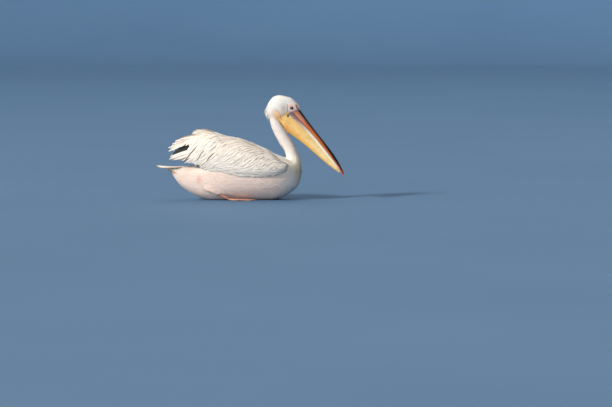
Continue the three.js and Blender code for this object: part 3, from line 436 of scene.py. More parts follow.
# the finely cut region: face, throat and pouch
def skin_points(): 
    v = np.empty(len(skin.data.vertices) * 3); skin.data.vertices.foreach_get("co", v); v = v.reshape(-1, 3) * 1000; v[:, 0] -= SHIFT; return v
def set_points(ob, v):
    v = v.copy(); v[:, 0] += SHIFT; ob.data.vertices.foreach_set("co", (v / 1000).ravel()); ob.data.update()
def relax(v, edges, times, weight=0.5, mask=None, back=0.0):
    n = len(v); deg = np.bincount(edges.ravel(), minlength=n)[:, None]
    for _ in range(times):
        for w in ((weight, -back) if back else (weight,)):
            s = np.zeros_like(v)
            for k in range(3): s[:, k] = np.bincount(edges[:, 0], v[edges[:, 1], k], n) + np.bincount(edges[:, 1], v[edges[:, 0], k], n)
            d = s / np.maximum(deg, 1) - v
            v = v + d * (w if mask is None else w * mask[:, None])
    return v
def edges_of(ob):
    e = np.empty(len(ob.data.edges) * 2, np.int64); ob.data.edges.foreach_get("vertices", e); return e.reshape(-1, 2)
v = skin_points(); v = relax(v, edges_of(skin), 6, 0.55, back=0.30); set_points(skin, v)

def refine(region, cuts=1):
    bm = bmesh.new(); bm.from_mesh(skin.data); bm.faces.ensure_lookup_table()
    c = np.array([f.calc_center_median() for f in bm.faces]) * 1000; c[:, 0] -= SHIFT
    chosen = region(c); es = {e for f, k in zip(bm.faces, chosen) if k for e in f.edges}
    bmesh.ops.subdivide_edges(bm, edges=list(es), cuts=cuts, use_grid_fill=True, smooth=0.35)
    bm.to_mesh(skin.data); bm.free(); skin.data.update()
def face_region(c):
    g = np.minimum(face_d(c), gular_d(c)); return (g < 9) & (c[:, 2] > 100)
print("skin verts", len(skin.data.vertices))
refine(face_region); print("skin verts", len(skin.data.vertices))
refine(lambda c: (np.minimum(face_d(c), np.where(c[:, 0] < 300, gular_d(c), 99)) < 6) & (c[:, 2] > 330)); print("skin verts", len(skin.data.vertices))
refine(lambda c: (np.hypot(c[:, 0] - EYE["x"], c[:, 2] - EYE["z"]) < 17))
print("skin verts", len(skin.data.vertices), "faces", len(skin.data.polygons))

# =============================================================== sculpting the face, the throat and the pouch
V = skin_points(); E = edges_of(skin)
fine = ((np.minimum(face_d(V), gular_d(V)) < 8) & (V[:, 2] > 90)).astype(float)
V = relax(V, E, 10, 0.5, mask=fine, back=0.25)
set_points(skin, V)
def mesh_normals(ob):
    n = np.empty(len(ob.data.vertices) * 3); ob.data.vertex_normals.foreach_get("vector", n); return n.reshape(-1, 3)
N0 = mesh_normals(skin)
X, Y, Z = V.T; AY = np.abs(Y); FD, GD = face_d(V), gular_d(V)
near = (X > 60) & (Z > 90)
d = np.zeros(len(V))
# the wrinkled bare skin of the face: rings round the eye that break up into a fine net
ER = np.hypot((X - EYE["x"]) / 1.06, Z - EYE["z"]); on_face = (1 - smooth(-3, 1, FD)) * (AY > 6)
net = fbm(V * [0.30, 0.30, 0.30], 3, 5); fold = 1 - 2 * np.abs(fbm(V * [0.16, 0.16, 0.16], 2, 9) - 0.5)
rings = np.sin(ER * 1.55 + 3.0 * fbm(V * 0.08, 2, 3)) * np.exp(-((ER - 15) / 9) ** 2)
d += on_face * (0.42 * rings + 1.0 * (net - 0.5) + 0.8 * (fold - 0.8))
# the edge of the feathers behind the eye, a narrow upright furrow
def along(x, z, a, b):
    """Distance to a line between two points seen from the side, and how far along it."""
    a, b = np.array(a, float), np.array(b, float); e = b - a; L2 = (e ** 2).sum()
    t = np.clip(((x - a[0]) * e[0] + (z - a[1]) * e[1]) / L2, 0, 1)
    return np.hypot(x - a[0] - t * e[0], z - a[1] - t * e[1]), t
furrow, ft = along(X, Z, (191.5, 496), (192.5, 459))
d -= 1.6 * np.exp(-(furrow / 1.5) ** 2) * (AY > 8) * near
# the corner of the gape: a pit, with folds that fan from it over the throat
PIT, NOTCH = (196.4, 434.2), (207.0, 446.0)
pr = np.hypot((X - PIT[0]) / 1.05, (Z - PIT[1]) / 1.15)
pr = pr * (0.86 + 0.3 * fbm(V * 0.16, 2, 24)); d -= (AY > 10) * near * 5.8 * np.exp(-(pr / 5.1) ** 2)
d += (AY > 10) * near * 0.45 * np.exp(-((pr - 8.0) / 2.4) ** 2)
nr = np.hypot(X - NOTCH[0], Z - NOTCH[1]); d -= (AY > 10) * near * 2.6 * np.exp(-(nr / 3.4) ** 2)
fan_c = np.array([214.0, 462.0]); ang = np.arctan2(Z - fan_c[1], X - fan_c[0]); rad = np.hypot(X - fan_c[0], Z - fan_c[1])
bare_throat = (1 - smooth(-4, 0, GD)) * near
fanw = bare_throat * smooth(20, 42, rad) * (1 - smooth(90, 165, rad)) * (1 - smooth(-1.55, -1.05, ang) * 0.8)
d += fanw * 0.22 * np.sin(ang * 30 + 4.2 * fbm(V * 0.025, 2, 21)) * (0.45 + 0.75 * fbm(V * 0.03, 2, 22))
fold_shadow = np.zeros(len(V))
# folds that fan from the gape: grooves, each with painted shadow along it
for a, b, depth, width, ink in [((154, 437), (168, 408), 2.0, 1.6, .75), ((172, 432), (178, 404), 0.8, 2.2, .2), ((186, 424), (200, 388), 0.9, 2.8, .15), ((178, 402), (203, 364), 0.9, 3.0, .15)]:
    r, t = along(X, Z, a, b); g = (AY > 6) * near * np.exp(-(r / width) ** 2) * np.sin(np.pi * np.clip(t, .02, .98)) ** 0.5; d -= depth * g; fold_shadow = np.maximum(fold_shadow, ink * g)
# the deep fold where the throat lies against the neck, with painted shadow along it
for a, b in [((147, 409), (171, 376)), ((171, 376), (194, 349))]:
    r, t = along(X, Z, a, b); g = (AY > 9) * near * np.exp(-(r / 3.8) ** 2) * smooth(147, 162, X); d -= 2.4 * g; fold_shadow = np.maximum(fold_shadow, .8 * g * (1 - .75 * smooth(163, 182, X)))
# the pouch: long slack folds that run from the jaw to the tip, and a fine grain
PS = ((X - CUL0[0]) * CDIR[0] + (Z - CUL0[1]) * CDIR[1]) / BILL_LENGTH      # along the bill
PD = (X - CUL0[0]) * UNDER[0] + (Z - CUL0[1]) * UNDER[1]                     # below the culmen
kk = np.clip(PS, 0, 1); ptop = bill_depth(kk) + bow(kk) + 4; PV = np.clip((PD - ptop) / np.maximum(pouch_depth(kk) - ptop, 4), -1, 1.3)
on_pouch = (1 - smooth(-5, 1, GD)) * smooth(-0.02, 0.10, PS) * (PS < 1.02)
longf = np.sin(PV * 26 + 6 * fbm(np.c_[PS * 7, PV * 2.2, np.sign(Y)], 2, 31)) * (0.3 + 0.9 * fbm(np.c_[PS * 9, PV * 3, np.sign(Y) * 3], 2, 33))
d += on_pouch * np.clip(PV, 0, 1) ** 0.5 * 0.55 * longf * (1 - smooth(0.9, 1.0, PS))
d += on_pouch * 0.35 * (fbm(V * 0.12, 2, 35) - 0.5)
V = V + N0 * d[:, None]
# lids: a raised rim that lies on the eyeball, so the eye sits back in the head
ball = EYE["y"] + np.sqrt(np.maximum(0, EYE["r"] ** 2 - np.minimum(ER, 8.95) ** 2))
eye_zone = (AY > 12) & (ER < 20); lid = np.exp(-((ER - 7.9) / 1.25) ** 2)
y1 = AY + lid * (np.maximum(ball + 0.9, AY + 0.9) - AY) * 0.95 - 0.9 * np.exp(-((ER - 11.2) / 1.3) ** 2) + 0.5 * np.exp(-((ER - 13.6) / 1.4) ** 2)
inner = 1 - smooth(6.3, 7.0, ER); y1 = lerp(y1, ball - 2.4, inner)
V[:, 1] = np.where(eye_zone, np.sign(Y) * y1, V[:, 1])
V[:, 2] = np.maximum(V[:, 2], 0.5)
set_points(skin, V)

# =============================================================== colours of the skin
def blend_rgb(base, color, w): return base + (np.asarray(color) - base) * np.asarray(w)[:, None]
def pouch_rgb(ps, pv, p):
    """Yellow of the pouch: gold along its keel, orange at the corner by the neck, paler under the branches of the jaw."""
    c = np.tile(srgb(255, 212, 132), (len(p), 1))
    c = blend_rgb(c, srgb(255, 230, 170), smooth(0.25, 0.7, ps) * 0.8)
    c = blend_rgb(c, srgb(252, 208, 160), (1 - smooth(150, 190, p[:, 0])) * smooth(410, 440, p[:, 2]) * 0.85)
    c = blend_rgb(c, srgb(246, 176, 58), smooth(0.55, 1.02, pv) * 0.85)
    c = blend_rgb(c, srgb(233, 140, 52), smooth(0.80, 1.05, pv) * (1 - smooth(0.05, 0.32, ps)) * 0.8)
    c = blend_rgb(c, srgb(244, 176, 100), np.exp(-((p[:, 0] - 150) / 18) ** 2 - ((p[:, 2] - 415) / 26) ** 2) * 0.6)
    c = blend_rgb(c, srgb(246, 168, 84), np.exp(-((p[:, 0] - 190) / 15) ** 2 - ((p[:, 2] - 368) / 24) ** 2) * 0.6)
    c = blend_rgb(c, srgb(214, 150, 80), (fbm(p * [.05, .05, .05], 3, 41) - 0.45).clip(0, 1) * 0.7)
    return c
def coat_rgb(p):
    """White, creamy over the wings, faintly pink along the flank and the neck, yellowish at the foot of the neck: the same on skin and coat."""
    x, y, z = p.T; c = np.tile(srgb(249, 244, 236), (len(p), 1))
    c = blend_rgb(c, srgb(250, 222, 205), (1 - smooth(150, 190, z)) * (1 - smooth(120, 230, x)) * 0.8)
    c = blend_rgb(c, srgb(250, 236, 226), smooth(230, 300, z) * (1 - smooth(440, 470, z)) * smooth(90, 130, x) * 0.7)
    c = blend_rgb(c, srgb(247, 226, 178), np.exp(-((x - 235) / 45) ** 2 - ((z - 185) / 55) ** 2) * 0.55)
    c = blend_rgb(c, srgb(251, 248, 240), smooth(440, 480, z))
    g = gular_d(p); c = blend_rgb(c, srgb(252, 212, 168), (1 - smooth(0, 11, g)) * smooth(405, 425, z) * (x < 196) * 0.80)
    c = blend_rgb(c, srgb(228, 198, 180), np.exp(-((x - 176) / 13) ** 2 - ((z - 474) / 17) ** 2) * 0.55)
    # painted shade: the nape a little darker and warmer
    c = blend_rgb(c, srgb(238, 222, 208), (1 - smooth(92, 122, x)) * smooth(420, 440, z) * 0.7)
    c = blend_rgb(c, srgb(230, 138, 114), np.exp(-((x + 258) / 9) ** 2 - ((z - 108) / 17) ** 2) * 0.60)
    # ochre under the tail: stained feathers, deepened by painted shade of the underside
    c = blend_rgb(c, srgb(172, 118, 74), (1 - smooth(-404, -362, x)) * smooth(126, 150, z) * 0.9)
    return c
FD, GD = face_d(V), gular_d(V); rgb = coat_rgb(V) * 0.93
down = fbm(V * 0.35, 2, 51); rgb = rgb * (0.94 + 0.1 * down)[:, None]
lobe = (X < 190) * smooth(395, 425, Z); gw = (1 - smooth(-1.0 - 7 * lobe, 1.6 + 3 * lobe, GD + 3 * lobe * (fbm(V * .12, 2, 52) - .5))) * (Z > 60) * (X > 90)
rgb = blend_rgb(rgb, [0, 0, 0], gw) + pouch_rgb(PS, PV, V) * gw[:, None]
# fine veins on the pouch
vein = np.abs(fbm(np.c_[PS * 26 + V[:, 1] * 0.01, PV * 7, np.sign(Y)], 3, 55) - 0.5); vw = gw * smooth(0.03, 0.0, vein) * smooth(0.05, 0.2, PS)
rgb = blend_rgb(rgb, srgb(226, 138, 78), vw * 0.30)
# painted shade: darker orange where the pouch skin is pressed in, then the dark painted shadow of the folds
crease_shade = gw * np.clip(-d, 0, 1.4) / 1.4; rgb = blend_rgb(rgb, srgb(196, 128, 66), crease_shade * 0.18 * (1 - smooth(0.2, 0.6, PS) * 0.6)); rgb = blend_rgb(rgb, srgb(84, 44, 22), fold_shadow * 0.85)
jaw = gw * np.exp(-((X - 196) / 17) ** 2 - ((Z - 405) / 26) ** 2); rgb = blend_rgb(rgb, srgb(226, 180, 110), jaw * 0.45)
fw = (1 - smooth(-0.8, 1.6, FD)) * (AY > 5)
# the face darker in the hollows of the wrinkle net: painted shade
face = np.tile(srgb(248, 220, 206), (len(V), 1)); face = blend_rgb(face, srgb(224, 172, 156), np.clip(0.55 - net, 0, 1) * 1.5)
face = blend_rgb(face, srgb(250, 238, 232), np.exp(-((ER - 13) / 4.5) ** 2) * (Z < EYE["z"] + 4) * 0.75)
root, _ = along(X, Z, (237, 490), (248, 466)); face = blend_rgb(face, srgb(104, 50, 42), np.exp(-(root / 5.2) ** 2) * 0.92)
root2, _ = along(X, Z, (240, 462), (212, 449)); face = blend_rgb(face, srgb(190, 128, 122), np.exp(-(root2 / 5.5) ** 2) * 0.7)
# darker wherever the skin is pressed in: painted shade
face = blend_rgb(face, srgb(150, 100, 96), np.clip(-d, 0, 1) * 0.35)
rgb = blend_rgb(rgb, [0, 0, 0], fw) + face * fw[:, None]
rgb = blend_rgb(rgb, srgb(96, 60, 52), lid * (ER < 9.5) * (AY > 12) * 0.75); rgb = blend_rgb(rgb, srgb(26, 14, 12), (ER < 7.2) * (AY > 12) * 1.0)
# the furrow behind the eye coloured dark: painted shadow of the feathers' edge
rgb = blend_rgb(rgb, srgb(92, 58, 60), np.exp(-(furrow / 1.7) ** 2) * (AY > 8) * near * 0.85)
rgb = blend_rgb(rgb, srgb(60, 16, 10), np.exp(-(pr / 5.7) ** 4) * (AY > 8) * near)
rgb = blend_rgb(rgb, srgb(58, 40, 46), np.exp(-(nr / 4.6) ** 2) * (AY > 8) * near * 0.95)
# legs and feet
leg_line = [np.array(LEG["hip"]) - [0, 14, 0], np.array(LEG["ankle"]) - [0, 12, 0], np.array([-189.2, 96.5, 48.0]), np.array(LEG["ball"])]
def leg_distance(p):
    q = p * [1, 1, 1]; q = np.c_[q[:, 0], np.abs(q[:, 1]), q[:, 2]]; best = np.full(len(q), 1e9)
    for a, b in zip(leg_line[:-1], leg_line[1:]):
        e = b - a; t = np.clip(((q - a) @ e) / (e @ e), 0, 1); best = np.minimum(best, np.linalg.norm(q - a - t[:, None] * e, axis=1))
    return best
def on_foot(p, grow=0.0):
    """True on the webbed feet, by their outline from above."""
    bx, by = LEG["ball"][:2]; poly = [(bx - 12, by - 9), (20, 69), (34, 69), (44, 100), (28, 134), (-62, 141), (bx - 14, by + 9)]
    return (p[:, 2] < 8.5 + grow) & (np.abs(p[:, 1]) > 70.5) & (outline_distance(p[:, 0], np.abs(p[:, 1]), poly) < grow)
LD = leg_distance(V); foot = on_foot(V, 1.5).astype(float)
lw = np.maximum((1 - smooth(11.5, 14, LD)) * (1 - smooth(82, 92, Z)) * (LD < 30), foot); leg = np.tile(srgb(222, 148, 128), (len(V), 1))
leg = blend_rgb(leg, srgb(234, 186, 148), foot * smooth(0.35, 0.7, fbm(V * 0.08, 2, 61))); leg = blend_rgb(leg, srgb(150, 74, 62), np.clip(0.5 - fbm(V * 0.45, 2, 63), 0, 1) * 1.1)
rgb = blend_rgb(rgb, [0, 0, 0], lw) + leg * lw[:, None]
put_color(skin, "Col", rgb)
put_float(skin, "bare", np.clip(gw + fw, 0, 1)); put_float(skin, "scale", lw)

m, t, b = nodes_of("bare_skin")
co = coords(t); col = attribute(t, "Col"); bare = attribute(t, "bare"); sc = attribute(t, "scale")
grain = noise(t, co, 420, 3, 0.55); pores = node(t, "ShaderNodeTexVoronoi", {"feature": "DISTANCE_TO_EDGE"}, Vector=co, Scale=310.0, Randomness=1.0).outputs[0]
plates = node(t, "ShaderNodeTexVoronoi", {"feature": "DISTANCE_TO_EDGE"}, Vector=co, Scale=260.0, Randomness=0.65).outputs[0]
tone = ramp(t, grain, [(0.25, (0.94, 0.92, 0.90)), (0.75, (1.06, 1.05, 1.04))])
c1 = mix(t, "MULTIPLY", 0.7, col.outputs[0], tone.outputs[0])
seams = ramp(t, plates, [(0.0, (0.55, 0.5, 0.48)), (0.10, (1, 1, 1))]); c2 = mix(t, "MULTIPLY", maths(t, "MULTIPLY", sc.outputs["Fac"], 0.7), c1, seams.outputs[0])
t.links.new(c2, b.inputs["Base Color"])
rough = maths(t, "MULTIPLY_ADD", grain, 0.22, 0.36); t.links.new(maths(t, "ADD", rough, maths(t, "MULTIPLY", maths(t, "SUBTRACT", 1.0, bare.outputs["Fac"]), 0.15)), b.inputs["Roughness"])
n1 = bump(t, grain, 0.30, 0.0006); n2 = bump(t, pores, 0.25, 0.0004, n1)
h3 = maths(t, "MULTIPLY", ramp(t, plates, [(0.0, (0, 0, 0)), (0.14, (1, 1, 1))]).outputs[0], sc.outputs["Fac"]); n3 = bump(t, h3, 0.8, 0.0008, n2)
t.links.new(n3, b.inputs["Normal"])
b.inputs["Subsurface Weight"].default_value = 0.12; b.inputs["Subsurface Radius"].default_value = (1.0, 0.45, 0.25); b.inputs["Subsurface Scale"].default_value = 0.006
b.inputs["Specular IOR Level"].default_value = 0.4
skin.data.materials.clear(); skin.data.materials.append(m)
skin.data.polygons.foreach_set("use_smooth", np.ones(len(skin.data.polygons), bool))

# =============================================================== the bill
def horn_material(name, rough, lines, grain_scale):
    m, t, b = nodes_of(name); co = coords(t); col = attribute(t, "Col"); run = attribute(t, "run")
    fibre = noise(t, node(t, "ShaderNodeMapping", {}, Vector=run.outputs["Vector"], Scale=(1.2, lines, lines)).outputs[0], 1.0, 4, 0.6)
    cloud = noise(t, co, grain_scale, 4, 0.6)
    c1 = mix(t, "MULTIPLY", 0.75, col.outputs[0], ramp(t, fibre, [(0.30, (0.72, 0.70, 0.68)), (0.62, (1.08, 1.06, 1.04))]).outputs[0])
    c2 = mix(t, "MULTIPLY", 0.5, c1, ramp(t, cloud, [(0.3, (0.86, 0.84, 0.82)), (0.7, (1.05, 1.05, 1.05))]).outputs[0])
    t.links.new(c2, b.inputs["Base Color"]); t.links.new(maths(t, "MULTIPLY_ADD", fibre, 0.25, rough), b.inputs["Roughness"])
    t.links.new(bump(t, cloud, 0.2, 0.0006, bump(t, fibre, 0.45, 0.0007)), b.inputs["Normal"])
    b.inputs["Subsurface Weight"].default_value = 0.05; b.inputs["Subsurface Scale"].default_value = 0.004
    return m
HORN = horn_material("bill_horn", 0.24, 26.0, 140.0)
dark_limit = through([[0, .26], [.12, .28], [.2, .28], [.3, .24], [.4, .20], [.5, .22], [.6, .38], [.7, .52], [.8, .62], [.9, .62], [1, .48]])
def upper_rgb(s, rel, yf):
    c = np.tile(srgb(212, 104, 40), (len(s), 1))
    c = blend_rgb(c, srgb(212, 150, 120), (1 - smooth(0.12, 0.28, s)) * 0.75)
    c = blend_rgb(c, srgb(170, 88, 34), smooth(0.3, 0.5, s) * (1 - smooth(0.45, 0.62, rel)) * 0.8)
    c = blend_rgb(c, srgb(134, 52, 16), smooth(0.5, 0.75, s) * (1 - smooth(0.5, 0.72, rel)) * 0.8)
    c = blend_rgb(c, srgb(232, 176, 136), smooth(0.70, 0.92, rel) * smooth(0.16, 0.4, s) * (1 - smooth(0.4, 0.6, s)) * 0.45)
    c = blend_rgb(c, srgb(214, 132, 132), np.exp(-((s - .2) / .07) ** 2) * smooth(0.5, 0.75, rel) * 0.5)
    c = blend_rgb(c, srgb(122, 118, 66), (1 - smooth(0.02, 0.17, s)) * np.exp(-((rel - .42) / .14) ** 2) * 0.6)
    c = blend_rgb(c, srgb(150, 74, 66), (1 - smooth(0.0, 0.10, s)) * 0.5); c = blend_rgb(c, srgb(112, 44, 20), np.exp(-((rel - dark_limit(s) - .13) / .05) ** 2) * smooth(0.05, 0.3, s) * 0.6)
    # above dark_limit the culmen is near black: dark blue-grey horn, darkened further as painted shade on its side away
    # from the light
    w = 1 - smooth(dark_limit(s) - .05, dark_limit(s) + .09, rel)
    k = smooth(0.2, 0.5, s)[:, None]; c = c + (srgb(44, 42, 52)[None] * (1 - k) + srgb(17, 15, 17)[None] * k - c) * w[:, None]
    c = blend_rgb(c, srgb(196, 78, 34), smooth(0.945, 0.968, s) * 0.9); top = (1 - smooth(0.10, 0.34, yf)) * (rel < 0.5); c = blend_rgb(c, srgb(84, 84, 98), top * (1 - smooth(0.25, 0.55, s)) * 0.45)
    return c
def upper_at(S, A):
    s = S * 0.985; pinch = 1 - 0.20 * smooth(0.935, 0.965, s); h, dp, c, t = bill_half(s) * pinch, bill_depth(s) * (1 - 0.10 * smooth(0.94, 0.97, s)), np.cos(A), np.sin(A)
    rise = np.where(t >= 0, -0.62 * dp * np.abs(t) ** 1.15, 0.38 * dp * np.abs(t) ** 0.6); y = h * spow(c, 0.8); yf = np.abs(y) / h
    fade = 1 - smooth(0.86, 0.97, s)
    groove = -1.5 * np.exp(-((yf - 0.44) / 0.085) ** 2) + 0.9 * np.exp(-((yf - 0.0) / 0.30) ** 2) + 0.55 * np.exp(-((yf - 0.58) / 0.07) ** 2)
    rise = rise - np.where(t > 0.05, groove * fade * smooth(0, 0.05, s), 0)
    lip = np.exp(-((t + 0.02) / 0.13) ** 2) * 0.7 * fade * smooth(0.02, 0.1, s); y = y + np.sign(c) * lip
    ripple = 0.28 * np.sin(s * 300 + 5 * yf) * (1 - smooth(0.05, 0.2, s)) * (t > 0)
    return bill_point(s, y, dp * 0.62 + rise + bow(s) + ripple)
def run_attribute(ob, vec):
    at = ob.data.attributes.new("run", "FLOAT_VECTOR", "POINT"); at.data.foreach_set("vector", np.asarray(vec, np.float32).ravel())
def bill_coordinates(p):
    s = ((p[:, 0] - CUL0[0]) * CDIR[0] + (p[:, 2] - CUL0[1]) * CDIR[1]) / BILL_LENGTH
    return s, (p[:, 0] - CUL0[0]) * UNDER[0] + (p[:, 2] - CUL0[1]) * UNDER[1]
Vb, Fb = loft(300, 88, upper_at, bill_point(0, 0, 27), bill_point(0.985, 0, bill_depth(.985) * .6 + bow(.985)))
Fb = flip_out(Vb, Fb); upper = make_mesh("upper_bill_horn", Vb, Fb, HORN)
bs, bd = bill_coordinates(Vb); sc_ = np.clip(bs, 0, 1); rel = (bd - bow(sc_)) / bill_depth(sc_)
put_color(upper, "Col", upper_rgb(sc_, rel, np.abs(Vb[:, 1]) / bill_half(sc_))); run_attribute(upper, np.c_[bs * 10, Vb[:, 1] * 0.03, bd * 0.03])
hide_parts("upper_bill"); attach(upper, "root")

def ramus_at(side):
    def at(S, A):
        u, r, y, dd = ramus_line(S, side); c, t = np.cos(A), np.sin(A)
        wide = (3.6 - 1.4 * smooth(.94, 1, S)) + 0.35 * np.sin(2 * A) * side - 0.5 * np.exp(-((t - 0.1) / .22) ** 2) * smooth(0.02, 0.15, S) * (1 - smooth(.8, .95, S))
        return bill_point(u + .019 * smooth(.8, 1, S), y * (1 - .25 * smooth(.9, 1, S)) + wide * c, dd - 2.5 * smooth(.88, 1, S) + r * (1 - .5 * smooth(.93, 1, S)) * spow(t, 0.9))
    return at
for side, name in ((1, "left"), (-1, "right")):
    u0, r0, y0, d0 = ramus_line(np.array([0.0]), side); u1, r1, y1_, d1 = ramus_line(np.array([1.0]), side)
    Vr, Fr = loft(240, 32, ramus_at(side), bill_point(u0, y0, d0)[0], bill_point(u1, y1_, d1)[0]); Fr = flip_out(Vr, Fr)
    ob = make_mesh("lower_bill_horn_" + name, Vr, Fr, HORN); s, dd = bill_coordinates(Vr); k = np.clip(s, 0, 1)
    across = (dd - (bill_depth(k) + bow(k))) / np.maximum(ramus_depth(k), 4)
    # the lower half of the ramus lighter: painted highlight
    c = np.tile(srgb(154, 136, 140), (len(s), 1)); c = blend_rgb(c, srgb(206, 182, 170), smooth(0.45, 0.9, across) * 0.8)
    c = blend_rgb(c, srgb(196, 128, 124), np.exp(-((s - .17) / .08) ** 2) * (1 - smooth(.3, .7, across)) * 0.6)
    c = blend_rgb(c, srgb(206, 190, 168), smooth(0.12, 0.24, s) * 0.9); c = blend_rgb(c, srgb(255, 242, 214), smooth(0.20, 0.38, s) * 0.95)
    c = blend_rgb(c, srgb(72, 62, 72), (1 - smooth(.07, .17, s)) * smooth(.44, .62, fbm(Vr * .30, 3, 91)) * .55)
    c = blend_rgb(c, srgb(238, 168, 126), smooth(0.80, 0.95, s) * 0.7); c = blend_rgb(c, srgb(84, 66, 78), (1 - smooth(-0.03, 0.05, s)) * 0.75)
    put_color(ob, "Col", c); run_attribute(ob, np.c_[s * 10, Vr[:, 1] * 0.03, dd * 0.03])
    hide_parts("lower_bill_" + name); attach(ob, "root")

nail_u, nail_d, nail_y, nail_up, nail_dn = map(through, ([[0, .925], [.3, .955], [.6, .984], [.8, 1.002], [.92, 1.010], [1, 1.012]], [[0, 3.6], [.3, 3.4], [.6, 3.8], [.8, 5.8], [.92, 9.6], [1, 14.2]],
    [[0, 1.5], [.12, 5.0], [.4, 7.8], [.7, 8.2], [.88, 6.6], [.97, 3.8], [1, 1.6]], [[0, .8], [.12, 3.2], [.4, 4.8], [.7, 5.0], [.88, 4.0], [.97, 2.3], [1, .8]], [[0, .8], [.12, 2.4], [.4, 3.4], [.7, 4.2], [.88, 3.6], [.97, 2.1], [1, .8]]))
def nail_at(S, A):
    """A hooked shield: over the culmen at its root, bent down past the tip."""
    u, dd = nail_u(S), nail_d(S); e = 0.004; du = (nail_u(np.minimum(1, S + e)) - nail_u(np.maximum(0, S - e))) * BILL_LENGTH; dv = nail_d(np.minimum(1, S + e)) - nail_d(np.maximum(0, S - e)); n = np.hypot(du, dv); du, dv = du / n, dv / n
    c, t = np.cos(A), np.sin(A); r = np.where(t > 0, nail_up(S), nail_dn(S)) * np.abs(t) ** 0.9 * np.sign(t) + 0.5 * np.exp(-(c / .25) ** 2) * (t > 0) * np.sin(np.pi * S); seam = 1 - 0.10 * np.exp(-((S - 0.10) / 0.03) ** 2)
    return bill_point(u + r * dv * seam / BILL_LENGTH, nail_y(S) * c * seam, bow(np.minimum(1, u)) + dd - r * du * seam)
Vn, Fn = loft(90, 48, nail_at, nail_at(np.array([0.0]), np.array([0.0]))[0] * [1, 0, 1], nail_at(np.array([1.0]), np.array([0.0]))[0] * [1, 0, 1])
Fn = flip_out(Vn, Fn); nail = make_mesh("bill_nail_horn", Vn, Fn, horn_material("nail_horn", 0.16, 40.0, 200.0)); s, dd = bill_coordinates(Vn)
c = np.tile(srgb(186, 62, 26), (len(s), 1)); c = blend_rgb(c, srgb(232, 112, 46), smooth(0.990, 1.012, s) * 0.7); c = blend_rgb(c, srgb(70, 24, 16), (1 - smooth(0.925, 0.962, s)) * 0.9)
put_color(nail, "Col", c); run_attribute(nail, np.c_[s * 10, Vn[:, 1] * 0.03, dd * 0.03]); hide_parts("bill_nail"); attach(nail, "root")

# =============================================================== the eyes
def make_eye(side, name):
    axis = unit(np.array([0.20, 0.97 * side, -0.04])); up = unit(np.cross(axis, [1.0, 0, 0])); fore = np.cross(up, axis); R = EYE["r"] - 0.1
    ts = np.concatenate([np.linspace(0, 1, 60)[1:] ** 1.15 * 0.95, np.linspace(0.97, np.pi - .12, 26)]); n = 72; V, C = [], []
    for th in ts:
        a = np.arange(n) * 2 * np.pi / n; rr = R * (1 + 0.075 * (1 - smooth(0.15, 0.66, th)) * np.cos(th * 1.2)) * np.ones(n)
        V.append(axis * (rr * np.cos(th))[:, None] + (up * np.cos(a)[:, None] + fore * np.sin(a)[:, None]) * (rr * np.sin(th))[:, None])
        rmm = R * math.sin(th) if th < np.pi / 2 else R; fib = noise3(np.c_[np.cos(a) * 9, np.sin(a) * 9, np.full(n, rmm * .5)], 71)
        c = np.tile(srgb(70, 24, 14), (n, 1)) * (0.45 + 0.7 * fib)[:, None]; c = blend_rgb(c, srgb(40, 14, 10), np.full(n, smooth(5.0, 6.6, rmm)))
        c = blend_rgb(c, srgb(8, 6, 6), np.full(n, 1 - smooth(3.0, 3.5, rmm))); C.append(c if th < 1.3 else np.tile(srgb(60, 30, 26), (n, 1)))
    k = len(ts); V = np.vstack(V + [axis * R * 1.075, -axis * R]); C = np.vstack(C + [[srgb(8, 6, 6)], [srgb(40, 20, 18)]]); F = []
    for i in range(k - 1): F += [[i * n + j, i * n + (j + 1) % n, (i + 1) * n + (j + 1) % n, (i + 1) * n + j] for j in range(n)]
    F += [[k * n, j, (j + 1) % n] for j in range(n)] + [[k * n + 1, (k - 1) * n + (j + 1) % n, (k - 1) * n + j] for j in range(n)]
    V = V + [EYE["x"], side * EYE["y"], EYE["z"]]; F = flip_out(V, F); ob = make_mesh("eyeball_" + name, V, F, EYE_MAT); put_color(ob, "Col", C)
    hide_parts("eye_" + name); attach(ob, "root")
EYE_MAT, t, b = nodes_of("eye_gloss"); c = attribute(t, "Col"); nn = noise(t, coords(t), 900, 2, 0.5)
t.links.new(mix(t, "MULTIPLY", 0.5, c.outputs[0], ramp(t, nn, [(0.3, (0.8, 0.8, 0.8)), (0.7, (1.1, 1.1, 1.1))]).outputs[0]), b.inputs["Base Color"])
t.links.new(maths(t, "MULTIPLY_ADD", nn, 0.03, 0.04), b.inputs["Roughness"]); b.inputs["Coat Weight"].default_value = 1.0; b.inputs["Coat Roughness"].default_value = 0.02
make_eye(1, "left"); make_eye(-1, "right")

# =============================================================== claws
forms = []
for side in (1, -1):
    for (q, r) in TOES:
        bx, by = LEG["ball"][:2]; L = math.hypot(q[0] - bx, q[1] - by); ux, uy = (q[0] - bx) / L, (q[1] - by) / L
        v_, f_ = tube([(q[0] - 2 * ux, q[1] - 2 * uy, 3.6), (q[0] + 3 * ux, q[1] + 3 * uy, 4.0), (q[0] + 6.5 * ux, q[1] + 6.5 * uy, 3.0), (q[0] + 9 * ux, q[1] + 9 * uy, 1.0)], [2.4, 2.2, 1.4, 0.35], 16, 14)
        v_ = v_ * [1, side, 1]; v_[:, 2] = np.maximum(v_[:, 2], 0.5); forms.append((v_, flip_out(v_, f_)))
CLAW = horn_material("claw_horn", 0.3, 50.0, 400.0); Vc, Fc = joined_forms(forms); claws = make_mesh("claws", Vc, Fc, CLAW); run_attribute(claws, Vc * 0.05)
put_color(claws, "Col", srgb(92, 78, 70) * (0.8 + 0.4 * fbm(Vc * 0.5, 2, 81))[:, None]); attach(claws, "root")

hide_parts("trunk", "neck", "head", "throat_pouch", "wing_left", "wing_right", "leg_left", "leg_right", "foot_left", "foot_right")
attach(skin, "root")

